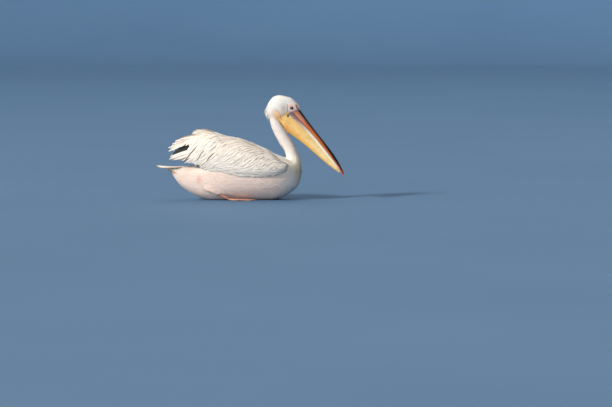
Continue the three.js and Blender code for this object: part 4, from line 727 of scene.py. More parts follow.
# =============================================================== the coat: every feather is a closed vane of mesh
def fast_mesh(name, verts_mm, tris, material, rgb, vane, uv, angle=50):
    me = bpy.data.meshes.new(name); v = np.array(verts_mm, float); v[:, 0] += SHIFT; v[:, 2] = np.maximum(v[:, 2], 0.35); n, f = len(v), len(tris)
    me.vertices.add(n); me.vertices.foreach_set("co", (v / 1000).astype(np.float32).ravel())
    me.loops.add(3 * f); me.loops.foreach_set("vertex_index", tris.astype(np.int32).ravel())
    me.polygons.add(f); me.polygons.foreach_set("loop_start", np.arange(0, 3 * f, 3, dtype=np.int32))
    me.update(calc_edges=True); me.validate(verbose=False)
    me.polygons.foreach_set("use_smooth", np.ones(len(me.polygons), bool)); me.set_sharp_from_angle(angle=math.radians(angle))
    idx = np.empty(len(me.loops), np.int32); me.loops.foreach_get("vertex_index", idx)
    layer = me.uv_layers.new(name="OFBake"); layer.data.foreach_set("uv", uv[idx].astype(np.float32).ravel())
    ob = bpy.data.objects.new(name, me); scene.collection.objects.link(ob); me.materials.append(material)
    put_color(ob, "Col", rgb); at = me.attributes.new("vane", "FLOAT_VECTOR", "POINT"); at.data.foreach_set("vector", vane.astype(np.float32).ravel())
    return ob

def template(K, M):
    """Triangles of one vane: K rings of M points, then the root point and the tip point."""
    T = []
    for i in range(K - 1):
        for j in range(M):
            a, b_, c, d_ = i * M + j, i * M + (j + 1) % M, (i + 1) * M + (j + 1) % M, (i + 1) * M + j; T += [(a, b_, c), (a, c, d_)]
    r, e = K * M, K * M + 1
    for j in range(M): T += [(r, (j + 1) % M, j), (e, (K - 1) * M + j, (K - 1) * M + (j + 1) % M)]
    return np.array(T, np.int64)

class Coat:
    """Collects vanes and turns them into pieces."""
    def __init__(self): self.V, self.T, self.C, self.A, self.U, self.n = [], [], [], [], [], 0
    def add(self, cen, side, up, half, thick, camber, tip, root, uv, color, top=3, bottom=1, ridge=0.0, shade=(0.55, 0.45), tint=None, notch=None, edge=0.05):
        n, K = half.shape; ut = np.linspace(-1, 1, top); ub = np.linspace(1, -1, bottom + 2)[1:-1] if bottom else np.zeros(0)
        u = np.r_[ut, ub]; kind = np.r_[np.ones(top), -np.ones(bottom)]; kind[0] = kind[top - 1] = 0; M = len(u)
        h = half[:, :, None] * np.ones(M); 
        if notch is not None: h = h * notch[:, :, None] ** (np.abs(u) ** 3) if notch.ndim == 2 else h * np.where(u < -.6, notch[..., :1], np.where(u > .6, notch[..., 1:], 1))
        off = -camber[:, :, None] * half[:, :, None] * u * u + kind * thick[:, :, None] * 0.5 * (1 - 0.55 * u * u) + ridge * np.exp(-(u / .16) ** 2) * (kind > 0)
        P = cen[:, :, None] + side[:, :, None] * (h * u)[..., None] + up[:, :, None] * off[..., None]
        P = np.concatenate([P.reshape(n, K * M, 3), root[:, None], tip[:, None]], 1); m = K * M + 2
        T = template(K, M)[None] + (np.arange(n) * m)[:, None, None] + self.n
        v = self.v
        a = np.concatenate([np.repeat(v, M), [0, 1]]); uu = np.concatenate([np.tile(u, K), [0, 0]])
        # painted shade: each vane darker towards its root, where the vanes over it lie, and along its edges, so the
        # gaps between vanes read dark
        dark = shade[0] + (1 - shade[0]) * smooth(0.0, shade[1], a); C = color[:, None, :] * dark[None, :, None] ** np.array([1.0, 1.12, 1.3])
        C = C * (1 - edge * np.abs(uu)[None, :, None] ** 5 * np.array([1.0, 1.12, 1.3])) * (1 + 0.03 * np.exp(-(uu / .15) ** 2))[None, :, None]
        if tint is not None: C = tint(C, a, uu, P)
        length = np.linalg.norm(tip - root, axis=1); wid = half.max(1); rid = np.arange(n) * 0.37 + self.n * 0.011
        av = a[None] * length[:, None]; au = np.abs(uu)[None] * wid[:, None]
        A = np.stack([(av - 1.15 * au) * 0.75, uu[None] * wid[:, None] * 0.10 + 0 * av, rid[:, None] + 0 * av], -1)
        UV = uv[:, None, :] + np.stack([uu[None] * 0.0014 + 0 * av, (a[None] - .5) * 0.0029 + 0 * av], -1)
        self.V.append(P.reshape(-1, 3)); self.T.append(T.reshape(-1, 3)); self.C.append(C.reshape(-1, 3)); self.A.append(A.reshape(-1, 3)); self.U.append(UV.reshape(-1, 2)); self.n += n * m
    def piece(self, name, material, slot, *nodes):
        T = np.vstack(self.T); V = np.vstack(self.V)
        ob = fast_mesh(name, V, T, material, np.vstack(self.C), np.vstack(self.A), np.clip(np.vstack(self.U), 0, 1))
        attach(ob, "root")
        if nodes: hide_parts(*nodes)
        print(name, "tris", len(T)); self.__init__(); return ob

def profile(v, kind):
    """Half width along a vane, 0 to 1."""
    if kind == "tuft": return np.sin(np.pi * np.clip(v * 0.86 + 0.10, 0, 1)) ** 0.8
    if kind == "lance": return (0.30 + 0.70 * smooth(0.0, 0.35, v)) * np.sqrt(np.clip(1 - (np.maximum(0, v - 0.30) / 0.70) ** 1.9, 0, 1))
    if kind == "round": return (0.35 + 0.65 * smooth(0.0, 0.40, v)) * np.sqrt(np.clip(1 - (np.maximum(0, v - 0.52) / 0.48) ** 2.4, 0, 1))
    if kind == "point": return (0.30 + 0.70 * smooth(0.0, 0.25, v)) * np.sqrt(np.clip(1 - (np.maximum(0, v - 0.42) / 0.58) ** 1.9, 0, 1))
    if kind == "blade": return (0.30 + 0.70 * smooth(0.0, 0.25, v)) * np.sqrt(np.clip(1 - (np.maximum(0, v - 0.50) / 0.50) ** 2.3, 0, 1))

# ---- places on the skin
skin.data.calc_loop_triangles(); LT = np.empty(len(skin.data.loop_triangles) * 3, np.int32); skin.data.loop_triangles.foreach_get("vertices", LT); LT = LT.reshape(-1, 3)
SV = skin_points(); SN = mesh_normals(skin); BVH = BVHTree.FromPolygons(SV.tolist(), LT.tolist()); FN = unit(SN[LT].sum(1))
def on_skin(Q):
    P, N = np.empty_like(Q), np.empty_like(Q)
    for i, q in enumerate(Q.tolist()):
        loc, _, k, _ = BVH.find_nearest(q); P[i] = loc; N[i] = FN[k]
    return P, N
def smooth_normals(Vx, Nx, passes=14):
    e = edges_of(skin); n = len(Nx); deg = np.maximum(np.bincount(e.ravel(), minlength=n), 1)[:, None]
    for _ in range(passes):
        s = np.stack([np.bincount(e[:, 0], Nx[e[:, 1], k], n) + np.bincount(e[:, 1], Nx[e[:, 0], k], n) for k in range(3)], 1); Nx = unit(Nx + s / deg)
    return Nx
FN = unit(smooth_normals(SV, SN)[LT].sum(1))
from mathutils.kdtree import KDTree
def scatter(region, spacing, seed):
    """Even random places on the skin where region(points, normals) holds; spacing is a function of the points."""
    rng = np.random.default_rng(seed); cen = SV[LT].mean(1); keep = region(cen, FN); T = LT[keep]; fn = FN[keep]
    a, b_, c = SV[T[:, 0]], SV[T[:, 1]], SV[T[:, 2]]; area_ = np.linalg.norm(np.cross(b_ - a, c - a), axis=1) / 2; sp = spacing((a + b_ + c) / 3)
    w = area_ / sp ** 2; total = int(w.sum() * 5.5); pick = rng.choice(len(T), total, p=w / w.sum()); r1, r2 = np.sqrt(rng.random(total)), rng.random(total)
    P = a[pick] * (1 - r1)[:, None] + b_[pick] * (r1 * (1 - r2))[:, None] + c[pick] * (r1 * r2)[:, None]; sp = spacing(P)
    kd = KDTree(total); 
    for i, p in enumerate(P.tolist()): kd.insert(p, i)
    kd.balance(); alive = np.ones(total, bool); out = []
    for i in range(total):
        if not alive[i]: continue
        out.append(i)
        for _, j, _ in kd.find_range(P[i].tolist(), float(sp[i])): alive[j] = False
    return P[out], fn[pick][out]
def hidden(P, N, reach=55.0, start=3.0):
    out = np.zeros(len(P), bool)
    for i, (p, n) in enumerate(zip((P + N * start).tolist(), N.tolist())): out[i] = BVH.ray_cast(p, n, reach)[0] is not None
    return out

def lay(P, N, flow, length, lift0, lift1, V, jitter, rng, curl=0.0):
    """Centre lines that follow the skin from each root; V are the stations along it."""
    n = len(P); D = flow(P, N); yaw = rng.normal(0, 1, n) * jitter; B = np.cross(N, D); D = unit(D * np.cos(yaw)[:, None] + B * np.sin(yaw)[:, None])
    cen, up, p, nn, last = [], [], P.copy(), N.copy(), 0.0
    for k, v in enumerate(V):
        q = p + D * (length * (v - last))[:, None]; p, nn = on_skin(q) if k else (q, nn); last = v
        F = flow(p, nn); D = unit(D * 0.72 + F * 0.28); D = unit(D - nn * (D * nn).sum(1)[:, None])
        cen.append(p + nn * (lift0 + (lift1 - lift0) * v ** 0.8 + curl * v ** 4)[:, None]); up.append(nn)
    cen, up = np.stack(cen, 1), np.stack(up, 1); tan = np.gradient(cen, axis=1); tan = unit(tan); side = unit(np.cross(up, tan)); up = unit(np.cross(tan, side))
    return cen, side, up, tan
def feathers(coat, P, N, flow, length, half, thick, lift0, lift1, V, jitter, rng, uv, color, kind="lance", camber=0.12, roll=0.10, curl=0.0, **kw):
    if not len(P): return
    V = np.asarray(V, float); cen, side, up, tan = lay(P, N, flow, length, lift0, lift1, V, jitter, rng, curl); n, K = len(P), len(V)
    ph = rng.normal(0, 1, n) * roll; c, s = np.cos(ph)[:, None, None], np.sin(ph)[:, None, None]; side, up = side * c + up * s, up * c - side * s
    h = half[:, None] * profile(V, kind)[None]; th = thick[:, None] * (1 - 0.55 * V)[None]; cam = np.full((n, K), camber)
    step = length * (1 - V[-1]); tip = cen[:, -1] + tan[:, -1] * step[:, None] - up[:, -1] * 0.1; root = cen[:, 0] - tan[:, 0] * (length * 0.03 + .3)[:, None]
    coat.v = V; coat.add(cen, side, up, h, th, cam, tip, root, uv, color, **kw)

# ---- the lie of the coat
BILL_ROOT = np.array([240.0, 0.0, 462.0]); NECK_FOOT = np.array([222.0, 0.0, 236.0])
neck_s = np.linspace(0, 1, 120); nx, nz, _, _, ndir = neck_frame(neck_s)
def neck_dir(P):
    k = np.argmin((P[:, 0, None] - nx) ** 2 + (P[:, 2, None] - nz) ** 2, 1); d = ndir[k]; return np.c_[d[:, 0], np.zeros(len(P)), d[:, 1]]
def flow_head(P, N):
    away = unit(P - BILL_ROOT); down = neck_dir(P); w = np.maximum(1 - smooth(405, 452, P[:, 2]), (1 - smooth(92, 135, P[:, 0])) * (1 - smooth(440, 520, P[:, 2])))
    d = away * (1 - w)[:, None] + down * w[:, None]; d = d + 0.10 * np.c_[noise3(P * .03, 3) - .5, noise3(P * .03, 4) - .5, noise3(P * .03, 5) - .5]
    return unit(d - N * (d * N).sum(1)[:, None])
def flow_trunk(P, N):
    out = unit(P - NECK_FOOT); back = np.array([-1.0, 0, 0.0]); w = 1 - smooth(30, 175, np.linalg.norm(P - NECK_FOOT, axis=1)); w = np.maximum(w, smooth(190, 262, P[:, 0]) * 0.8)
    d = out * (w * .95)[:, None] + back * (1 - w * .8)[:, None]; nd = neck_dir(P); k = smooth(212, 262, P[:, 2]) * (P[:, 0] > 120); d = d * (1 - k)[:, None] + nd * k[:, None]
    d = d + 0.16 * np.c_[noise3(P * .012, 13) - .5, noise3(P * .012, 14) - .5, noise3(P * .012, 15) - .5]
    return unit(d - N * (d * N).sum(1)[:, None])

# ---- materials of the coat
def plumage(name, rough=0.62, streak=0.06, sheen=0.12):
    m, t, b = nodes_of(name); col = attribute(t, "Col"); va = attribute(t, "vane"); co = coords(t)
    barb = noise(t, va.outputs["Vector"], 1.0, 2, 0.5); soft = noise(t, co, 60, 2, 0.5)
    c1 = mix(t, "MULTIPLY", 1.0, col.outputs[0], ramp(t, barb, [(0.32, (1 - streak * 1.5, 1 - streak * 1.6, 1 - streak * 1.75)), (0.6, (1, 1, 1))]).outputs[0])
    c2 = mix(t, "MULTIPLY", 1.0, c1, ramp(t, soft, [(0.3, (0.965, 0.955, 0.945)), (0.7, (1, 1, 1))]).outputs[0])
    t.links.new(c2, b.inputs["Base Color"]); t.links.new(maths(t, "MULTIPLY_ADD", barb, 0.2, rough - 0.1), b.inputs["Roughness"])
    t.links.new(bump(t, barb, 0.25, 0.0003), b.inputs["Normal"])
    b.inputs["Sheen Weight"].default_value = sheen; b.inputs["Sheen Roughness"].default_value = 0.4; b.inputs["Specular IOR Level"].default_value = 0.3
    return m
PLUMAGE = plumage("plumage"); WINGF = plumage("wing_feathers", 0.58, 0.08, 0.10); DARKF = plumage("flight_feathers", 0.5, 0.25, 0.05)
def vary(rng, n, amount=0.03): return (1 + rng.normal(0, amount, (n, 1))) * (1 + rng.normal(0, amount * .25, (n, 3)))

# ---- unwraps for the OFBake UV layer
def uv_trunk(P): return np.c_[0.02 + 0.96 * (P[:, 0] + 440) / 720, 0.02 + 0.96 * (np.arctan2(P[:, 2] - trunk_mid(P[:, 0]), P[:, 1]) / (2 * np.pi) % 1)]
def uv_neck(P):
    k = np.argmin((P[:, 0, None] - nx) ** 2 + (P[:, 2, None] - nz) ** 2, 1); d = ndir[k]; t = (P[:, 0] - nx[k]) * -d[:, 1] + (P[:, 2] - nz[k]) * d[:, 0]
    return np.c_[0.02 + 0.96 * neck_s[k], 0.02 + 0.96 * (np.arctan2(t, P[:, 1]) / (2 * np.pi) % 1)]
def uv_head(P):
    q = unit(P - [150, 0, 470]); return np.c_[0.02 + 0.96 * (np.arctan2(q[:, 2], q[:, 0]) / (2 * np.pi) % 1), 0.5 + 0.47 * np.arcsin(q[:, 1]) / (np.pi / 2)]
def uv_wing(x, th): return np.c_[0.02 + 0.96 * (x + 440) / 650, 0.02 + 0.96 * np.clip(th / 2.2, 0, 1)]

coat = Coat(); SLIM = [0.12, 0.5, 0.82]
# ---- head and neck
def bare_d(P): return np.minimum(face_d(P), gular_d(P))
def is_head(P, N): return (P[:, 2] > 232) & (bare_d(P) > 0.4 - 7.0 * fbm(P * .22, 2, 103) * (P[:, 0] < 188) * (P[:, 2] > 412)) & (P[:, 0] > 60) & ~((P[:, 0] > 244) & (P[:, 2] < 480)) & ((P[:, 2] > 300) | (np.hypot(P[:, 0] - 205, P[:, 1]) < 70)) & ((P[:, 2] < 280) <= (P[:, 0] > 150))
def head_spacing(P):
    s = lerp(1.75, 1.42, smooth(400, 440, P[:, 2])); return np.minimum(s, lerp(1.25, 1.8, smooth(2, 16, bare_d(P))) + 3 * (P[:, 2] < 380))
P, N = scatter(is_head, head_spacing, 101); rng = np.random.default_rng(102)
def head_batch(sel, name):
    p, n_ = P[sel], N[sel]; k = len(p); edge = smooth(1, 18, bare_d(p)); up_ = smooth(395, 440, p[:, 2])
    L = lerp(lerp(27.0, 14.5, up_), 4.8, 1 - edge) * (1 + rng.normal(0, .14, k)); nape = np.exp(-((p[:, 0] - 88) / 16) ** 2 - ((p[:, 2] - 470) / 40) ** 2); L = L * (1 + 0.9 * nape)
    half = lerp(lerp(1.70, 1.02, up_), 0.62, 1 - edge) * (1 + rng.normal(0, .1, k)); lift = lerp(lerp(2.9, 2.2, up_), 1.0, 1 - edge) * (1 + rng.normal(0, .16, k))
    feathers(coat, p, n_, flow_head, L, half, np.full(k, .5), np.full(k, 0.1), lift, SLIM, 0.10, rng, uv_head(p) if name == "coat_head" else uv_neck(p), coat_rgb(p) * vary(rng, k, .02), kind="lance", camber=0.0, roll=.10, top=3, bottom=0, shade=(0.94, 0.5))
    coat.piece(name, PLUMAGE, "plumage")
head_batch(P[:, 2] > 425, "coat_head"); head_batch(P[:, 2] <= 425, "coat_neck")

# ---- the trunk, where no wing covers it
wing_y = lambda x, z: wing_surface(np.clip(x, -440, 204), np.clip(turn_at(np.clip(x, -440, 204), z), .02, TURN))[..., 1]
def on_wing(P):
    """True on the outer face of the wings' shells."""
    x, y, z = P[:, 0], np.abs(P[:, 1]), P[:, 2]; inx = (x > -330) & (x < 203); low = wing_low(np.clip(x, -440, 206)); top = wing_top(np.clip(x, -440, 206))
    base = trunk_point(np.clip(x, -425, 266), np.arctan2(np.maximum(z - trunk_mid(x), -200), np.maximum(y, 1e-3)))
    r_tr = np.hypot(base[:, 1], base[:, 2] - trunk_mid(x)); r = np.hypot(y, z - trunk_mid(x))
    return inx & (z > low - 6) & (r > r_tr + 1.5) & (z < top + 4)
def is_trunk(P, N):
    x, y, z = P.T; ok = (z < 312) & (leg_distance(P) > 9 + 9 * (z < 34)) & ~on_foot(P, 4.0) & ~on_wing(P)
    ok &= (bare_d(P) > 0) | (x < 90) | (z < 130) & (x < 262); ok &= ~((z > 236) & (x > 150) & (np.hypot(x - 205, y) < 60)); ok &= ~((x > 266) & (z > 175)); ok &= (x < 272)
    return ok & ~((z < 1.2) & (N[:, 2] < -.97) & (x > -200) & (x < 110) & (np.abs(y) < 30))
def trunk_spacing(P): return lerp(4.5, 3.5, smooth(100, 225, P[:, 0])) * lerp(1.0, 0.72, smooth(215, 260, P[:, 2]) * (P[:, 0] > 120))
P, N = scatter(is_trunk, trunk_spacing, 201); hid = hidden(P, N); rngt = np.random.default_rng(202)
deep = hidden(P, N, 22.0); P, N, hid = P[~deep], N[~deep], hid[~deep]; keep = ~hid | (rngt.random(len(P)) < 0.55); P, N = P[keep], N[keep]
BODY_V = [0.08, 0.30, 0.55, 0.78, 0.93]
def trunk_batch(sel, name, *nodes):
    p, n_ = P[sel], N[sel]; k = len(p); f = smooth(110, 235, p[:, 0]); under_tail = 1 - smooth(-400, -330, p[:, 0]); neckward = smooth(215, 262, p[:, 2]) * (p[:, 0] > 120)
    L = lerp(54, 38, f) * lerp(1, 0.62, neckward) * (1 + rngt.normal(0, .10, k)) * lerp(1, 0.8, under_tail); H = lerp(4.4, 3.0, f) * lerp(1, .50, neckward) * (1 + rngt.normal(0, .08, k))
    room = np.minimum(1, np.maximum(.35, (trunk_top(p[:, 0]) - trunk_low(p[:, 0])) / 60)); top_ = lerp(7.6, 7.4, f) * lerp(1, 0.72, neckward) * room * (1 + rngt.normal(0, .07, k))
    seen = p - np.c_[L * .72 * (1 - neckward * .7), np.zeros(k), np.zeros(k)]
    rgbt = blend_rgb(coat_rgb(seen), srgb(243, 232, 218), np.maximum(smooth(.66, .86, n_[:, 2]), 1 - smooth(12, 30, np.abs(p[:, 1]))) * (n_[:, 2] > .2) * (1 - smooth(-330, -280, p[:, 0])))
    feathers(coat, p, n_, flow_trunk, L, H, np.full(k, .8), np.full(k, 0.4), top_, BODY_V, 0.07, rngt, uv_trunk(p), rgbt * vary(rngt, k, .025), kind="lance", camber=0.14, roll=.05, top=3, bottom=1, shade=(0.92, 0.5))
    coat.piece(name, PLUMAGE, "plumage", *nodes)
front = P[:, 0] > 60
trunk_batch(front & (P[:, 1] > 0), "coat_breast_left"); trunk_batch(front & (P[:, 1] <= 0), "coat_breast_right"); trunk_batch(~front & (P[:, 1] > 0), "coat_flank_left"); trunk_batch(~front & (P[:, 1] <= 0), "coat_flank_right")

# ---- wings: rows of long pointed feathers over the shell, then the free blades at the rear
def reach(x, th):
    a, b_ = wing_surface(x, th + .05), wing_surface(x, np.maximum(th - .05, 0.0)); return np.linalg.norm(a - b_, axis=-1) / (th + .05 - np.maximum(th - .05, 0.0))
slant = through([[-440, 18], [-380, 26], [-320, 38], [-250, 47], [-180, 51], [-100, 50], [0, 47], [60, 44], [130, 37], [205, 24]])
def wing_slant(x, th): return np.radians(slant(x) * smooth(-0.25, 0.95, th) * (1 - (0.85 * smooth(1.35, 1.92, th)) * smooth(-240, -120, x)) + 3)
def wing_line(x, th, length, V, yaw):
    """Centre stations on the wing's surface for feathers from (x, th) along the slant."""
    X_, T_, last = [], [], 0.0; x, th = x.copy(), th.copy(); steps = 3
    for v in V:
        for _ in range(steps):
            ds = length * (v - last) / steps; f = wing_slant(np.maximum(x, -440), th) + yaw; x = x - np.cos(f) * ds * 0.97; th = th + np.sin(f) * ds / np.maximum(reach(np.clip(x, -440, 204), th), 20)
        last = v; X_.append(x.copy()); T_.append(th.copy())
    return np.stack(X_, 1), np.stack(T_, 1)
def wing_frame(X_, T_, out):
    xc = np.clip(X_, -440, 203.5); c = wing_point(xc, np.maximum(T_, .03), out); c[..., 0] += X_ - xc; up = wing_normal(xc, np.maximum(T_, .05))
    tan = unit(np.gradient(c, axis=1)); side = unit(np.cross(up, tan)); return c, side, unit(np.cross(tan, side)), tan
def sink_at(x, th):
    """The wing's inner edge and front end dip as the shell does."""
    a, b_, rnd = wing_ring(np.clip(x, -440, 202)); v = np.clip((th - a) / np.maximum(b_ - a, .1), 0, 1); return -14 * (1 - rnd) * 0.9 - 20 * smooth(85, 185, x) * (1 - smooth(0, 0.4, v))
def wing_feathers(coat, side_, x, th, L, H, thick, l0, l1, V, rng, yaw=0.03, kind="lance", color=None, splits=True, camber=.14, top=5, bottom=3, ridge=.25, shade=(.50, .46), roll=.05, tint=None, edge=.36):
    V = np.asarray(V, float); n = len(x); yw = rng.normal(0, yaw, n) if np.isscalar(yaw) else yaw; X_, T_ = wing_line(x, th, L, V, yw)
    lift = l0[:, None] + (l1 - l0)[:, None] * (V ** .75)[None] + sink_at(X_, T_); cen, sd, up, tan = wing_frame(X_, T_, lift)
    ph = rng.normal(0, roll, n)[:, None, None] - 0.04; sd, up = sd * np.cos(ph) + up * np.sin(ph), up * np.cos(ph) - sd * np.sin(ph)
    h = H[:, None] * profile(V, kind)[None]; tkn = thick[:, None] * (1 - .6 * V)[None]; notch = np.ones((n, len(V), 2))
    if splits:
        for e in (0, 1):
            hit = rng.random((n, len(V))) < 0.16; hit[:, :3] = False; notch[..., e] = np.where(hit, rng.uniform(.55, .82, hit.shape), 1)
    col = coat_rgb(np.clip(cen[:, 0], -500, 300)) if color is None else color; col = col * vary(rng, n, .03)
    tip = cen[:, -1] + tan[:, -1] * (L * (1 - V[-1]))[:, None]; root = cen[:, 0] - tan[:, 0] * (L * .03)[:, None]; m = np.array([1, side_, 1.0])
    uv = uv_wing(x, th); coat.v = V; coat.add(cen * m, sd * m, up * m, h, tkn, np.full((n, len(V)), camber), tip * m, root * m, uv, col, top=top, bottom=bottom, ridge=ridge, shade=shade, notch=notch, tint=tint, edge=edge)

V9 = [0.05, 0.16, 0.30, 0.44, 0.58, 0.70, 0.81, 0.90, 0.965]; V7 = [0.06, 0.22, 0.42, 0.60, 0.76, 0.88, 0.96]
CREAM = srgb(249, 239, 226)
def wing_roots(rng, row, across):
    """Staggered places over the shell, closer at the bend."""
    out = []; x = 201.0; k = 0
    while x > -338:
        small = smooth(20, 185, x); r = lerp(row, row * .34, small); a = lerp(across, across * .62, small); th0 = float(wing_ring(np.array(x))[0]) if x > 60 else 0.02
        arc = np.linspace(th0, TURN + .02, 200); w = reach(np.full(200, x), arc); cum = np.r_[0, np.cumsum((w[1:] + w[:-1]) / 2 * np.diff(arc))]; m = max(3, int(cum[-1] / a))
        s = (np.arange(m) + (.25 if k % 2 else .75)) / m * cum[-1] + rng.normal(0, .10 * a, m); th = np.interp(s, cum, arc)
        out.append(np.c_[x + rng.normal(0, .12 * r, m), th]); x -= r; k += 1
    return np.vstack(out)
for side_, name in ((1, "left"), (-1, "right")):
    rngw = np.random.default_rng(300 + side_); R = wing_roots(rngw, 30.0, 9.0); x, th = R[:, 0], np.clip(R[:, 1], .02, TURN + .02); small = smooth(20, 190, x); n = len(x)
    L = lerp(124, 34, small ** .8) * (1 + rngw.normal(0, .10, n)); zr = wing_surface(np.clip(x, -440, 204), th)[:, 2]; zt = zr - .8 * L * np.sin(wing_slant(x, th)); stop = -302 - 10 * rngw.random(n) - 45 * smooth(288, 304, zt) - 22 * (1 - smooth(222, 240, zt)); L = np.where(x - L * .8 < stop, np.maximum(22, (x - stop) / .8), L)
    # the lower edge: tips keep inside the wing's outline
    room = (TURN + 0.05 - th) * reach(x, th); fall = np.sin(wing_slant(x, th)) * L; L = np.where(fall > room, np.maximum(L * lerp(.45, .22, 1 - smooth(-260, -215, x)), L * np.clip(room / np.maximum(fall, 1), .2, 1)), L)
    H = lerp(10.4, 4.4, small) * (1 + rngw.normal(0, .08, n)); keep = (L > 24) & (th < TURN + .01); x, th, L, H, small = x[keep], th[keep], L[keep], H[keep], small[keep]; n = len(x)
    order = (x - x.min()) / np.ptp(x); l1 = lerp(-1.2, -0.6, rngw.random(n)); l0 = np.full(n, -6.6) - .4 * rngw.random(n)
    l1 = lerp(-1.6, 0.2, rngw.random(n)) - 0.3; wing_feathers(coat, side_, x, th, L, H, lerp(1.5, .9, small), l0, l1, V9, rngw, yaw=.05, color=np.tile(CREAM, (n, 1)), top=5, bottom=1, ridge=.2, shade=(.62, .5))
    coat.piece("coat_wing_" + name, WINGF, "wing_feathers")

# ---- the scapulars that close over the back between the two wings
def is_back(P, N): return (np.abs(P[:, 1]) < 21) & (P[:, 0] > -272) & (P[:, 0] < 20) & (N[:, 2] > .35) & (P[:, 2] > wing_surface(np.clip(P[:, 0], -440, 204), np.full(len(P), .02))[:, 2] - 14)
P, N = scatter(is_back, lambda P: np.full(len(P), 8.0), 701); rngb = np.random.default_rng(702); k = len(P); flow_back = lambda P, N: unit(np.c_[np.full(len(P), -1.0), .22 * np.sign(P[:, 1]) * smooth(2, 18, np.abs(P[:, 1])) + .05 * (noise3(P * .05, 8) - .5), np.zeros(len(P))] - N * (-N[:, :1]))
feathers(coat, P, N, flow_back, rngb.normal(66, 6, k), rngb.normal(8.4, .8, k), np.full(k, 1.1), np.full(k, -.5), rngb.uniform(4.5, 9.5, k), [.06, .24, .44, .62, .78, .92], .05, rngb, uv_wing(P[:, 0], np.full(k, .05)), np.tile(CREAM, (k, 1)) * vary(rngb, k, .02), kind="lance", camber=.14, roll=.06, top=5, bottom=1, shade=(.7, .5))
coat.piece("coat_back", WINGF, "wing_feathers")

# ---- the long free feathers at the rear: scapulars, tertials, secondaries, and the black primaries under them
# each feather as seen from the side: root x and z, tip x and z, half width, lift at root and tip, arch
UPPER_BLADES = [[-172, 342, -300, 353, 8.0, -5, 0, 4], [-180, 338, -304, 344, 8.0, -5, 0, 5], [-170, 344, -286, 360, 7.0, -6, 0, 3],
    [-186, 340, -372, 314, 9.5, -7, -1, 8], [-190, 338, -394, 303, 9.5, -6, 0, 9], [-198, 331, -408, 288, 9.5, -7, -1, 12], [-204, 325, -428, 268, 10.0, -6, 0, 15], [-206, 320, -420, 264, 8.5, -8, -1, 18], [-210, 318, -428, 250, 8.0, -7, -1, 22]]
LOWER_BLADES = [[-214, 294, -417, 225, 7.5, -6, -1, 0], [-222, 288, -408, 220, 7.5, -7, -1, 1], [-224, 282, -425, 209, 8.0, -6, 0, 3], [-216, 272, -398, 207, 7.5, -7, -1, 3], [-206, 264, -386, 210, 8.0, -6, 0, 4],
    [-200, 262, -356, 203, 7.0, -7, -1, 6], [-196, 260, -341, 191, 8.0, -6, 0, 10], [-188, 256, -326, 197, 7.5, -7, -1, 10], [-184, 254, -310, 196, 8.0, -6, 0, 10], [-172, 248, -284, 190, 8.0, -6, 0, 10], [-156, 240, -258, 184, 8.0, -6, 0, 10], [-146, 232, -239, 183, 8.0, -6, 0, 8]]
PRIMARIES = [[-250, 276, -410, 238, 9, -16, -10, 8], [-250, 288, -402, 252, 9, -18, -12, 8], [-236, 296, -388, 266, 9, -19, -14, 8], [-236, 300, -372, 276, 8, -19, -14, 6], [-244, 266, -406, 226, 9, -18, -13, 6], [-236, 256, -392, 218, 9, -20, -15, 6], [-240, 282, -394, 246, 9, -21, -16, 8]]
SLITS = [[-272, 284, -343, 199, 2.7, -.7, .9, 3], [-184, 252, -229, 203, 2.2, -.8, .8, 2], [-238, 262, -277, 207, 1.7, -.8, .7, 2]]
V16 = np.array([0.03, 0.08, 0.15, 0.23, 0.31, 0.39, 0.47, 0.55, 0.62, 0.69, 0.75, 0.81, 0.86, 0.91, 0.95, 0.985])
def blade_line(spec, V, dl):
    """A blade's centre line over the wing's surface, lifted by dl, carried on in a straight line past the wing's end."""
    x0, z0, x1, z1, _, l0, l1, arch = spec; s = V; x = lerp(x0, x1, s); z = lerp(z0, z1, s) + arch * np.sin(np.pi * s)
    xs = np.maximum(-440, x); th = np.maximum(0.42, turn_at(xs, z)); q = wing_point(xs, th, lerp(l0, l1, s) + dl); c = wing_surface(xs, th)
    up = wing_normal(xs, th); up = unit(up + np.c_[0 * th, 1.25 * (1 - smooth(.42, 1.15, th)), 0 * th])
    return np.stack([q[:, 0] + x - xs, q[:, 1], q[:, 2] + z - c[:, 2]], -1), up
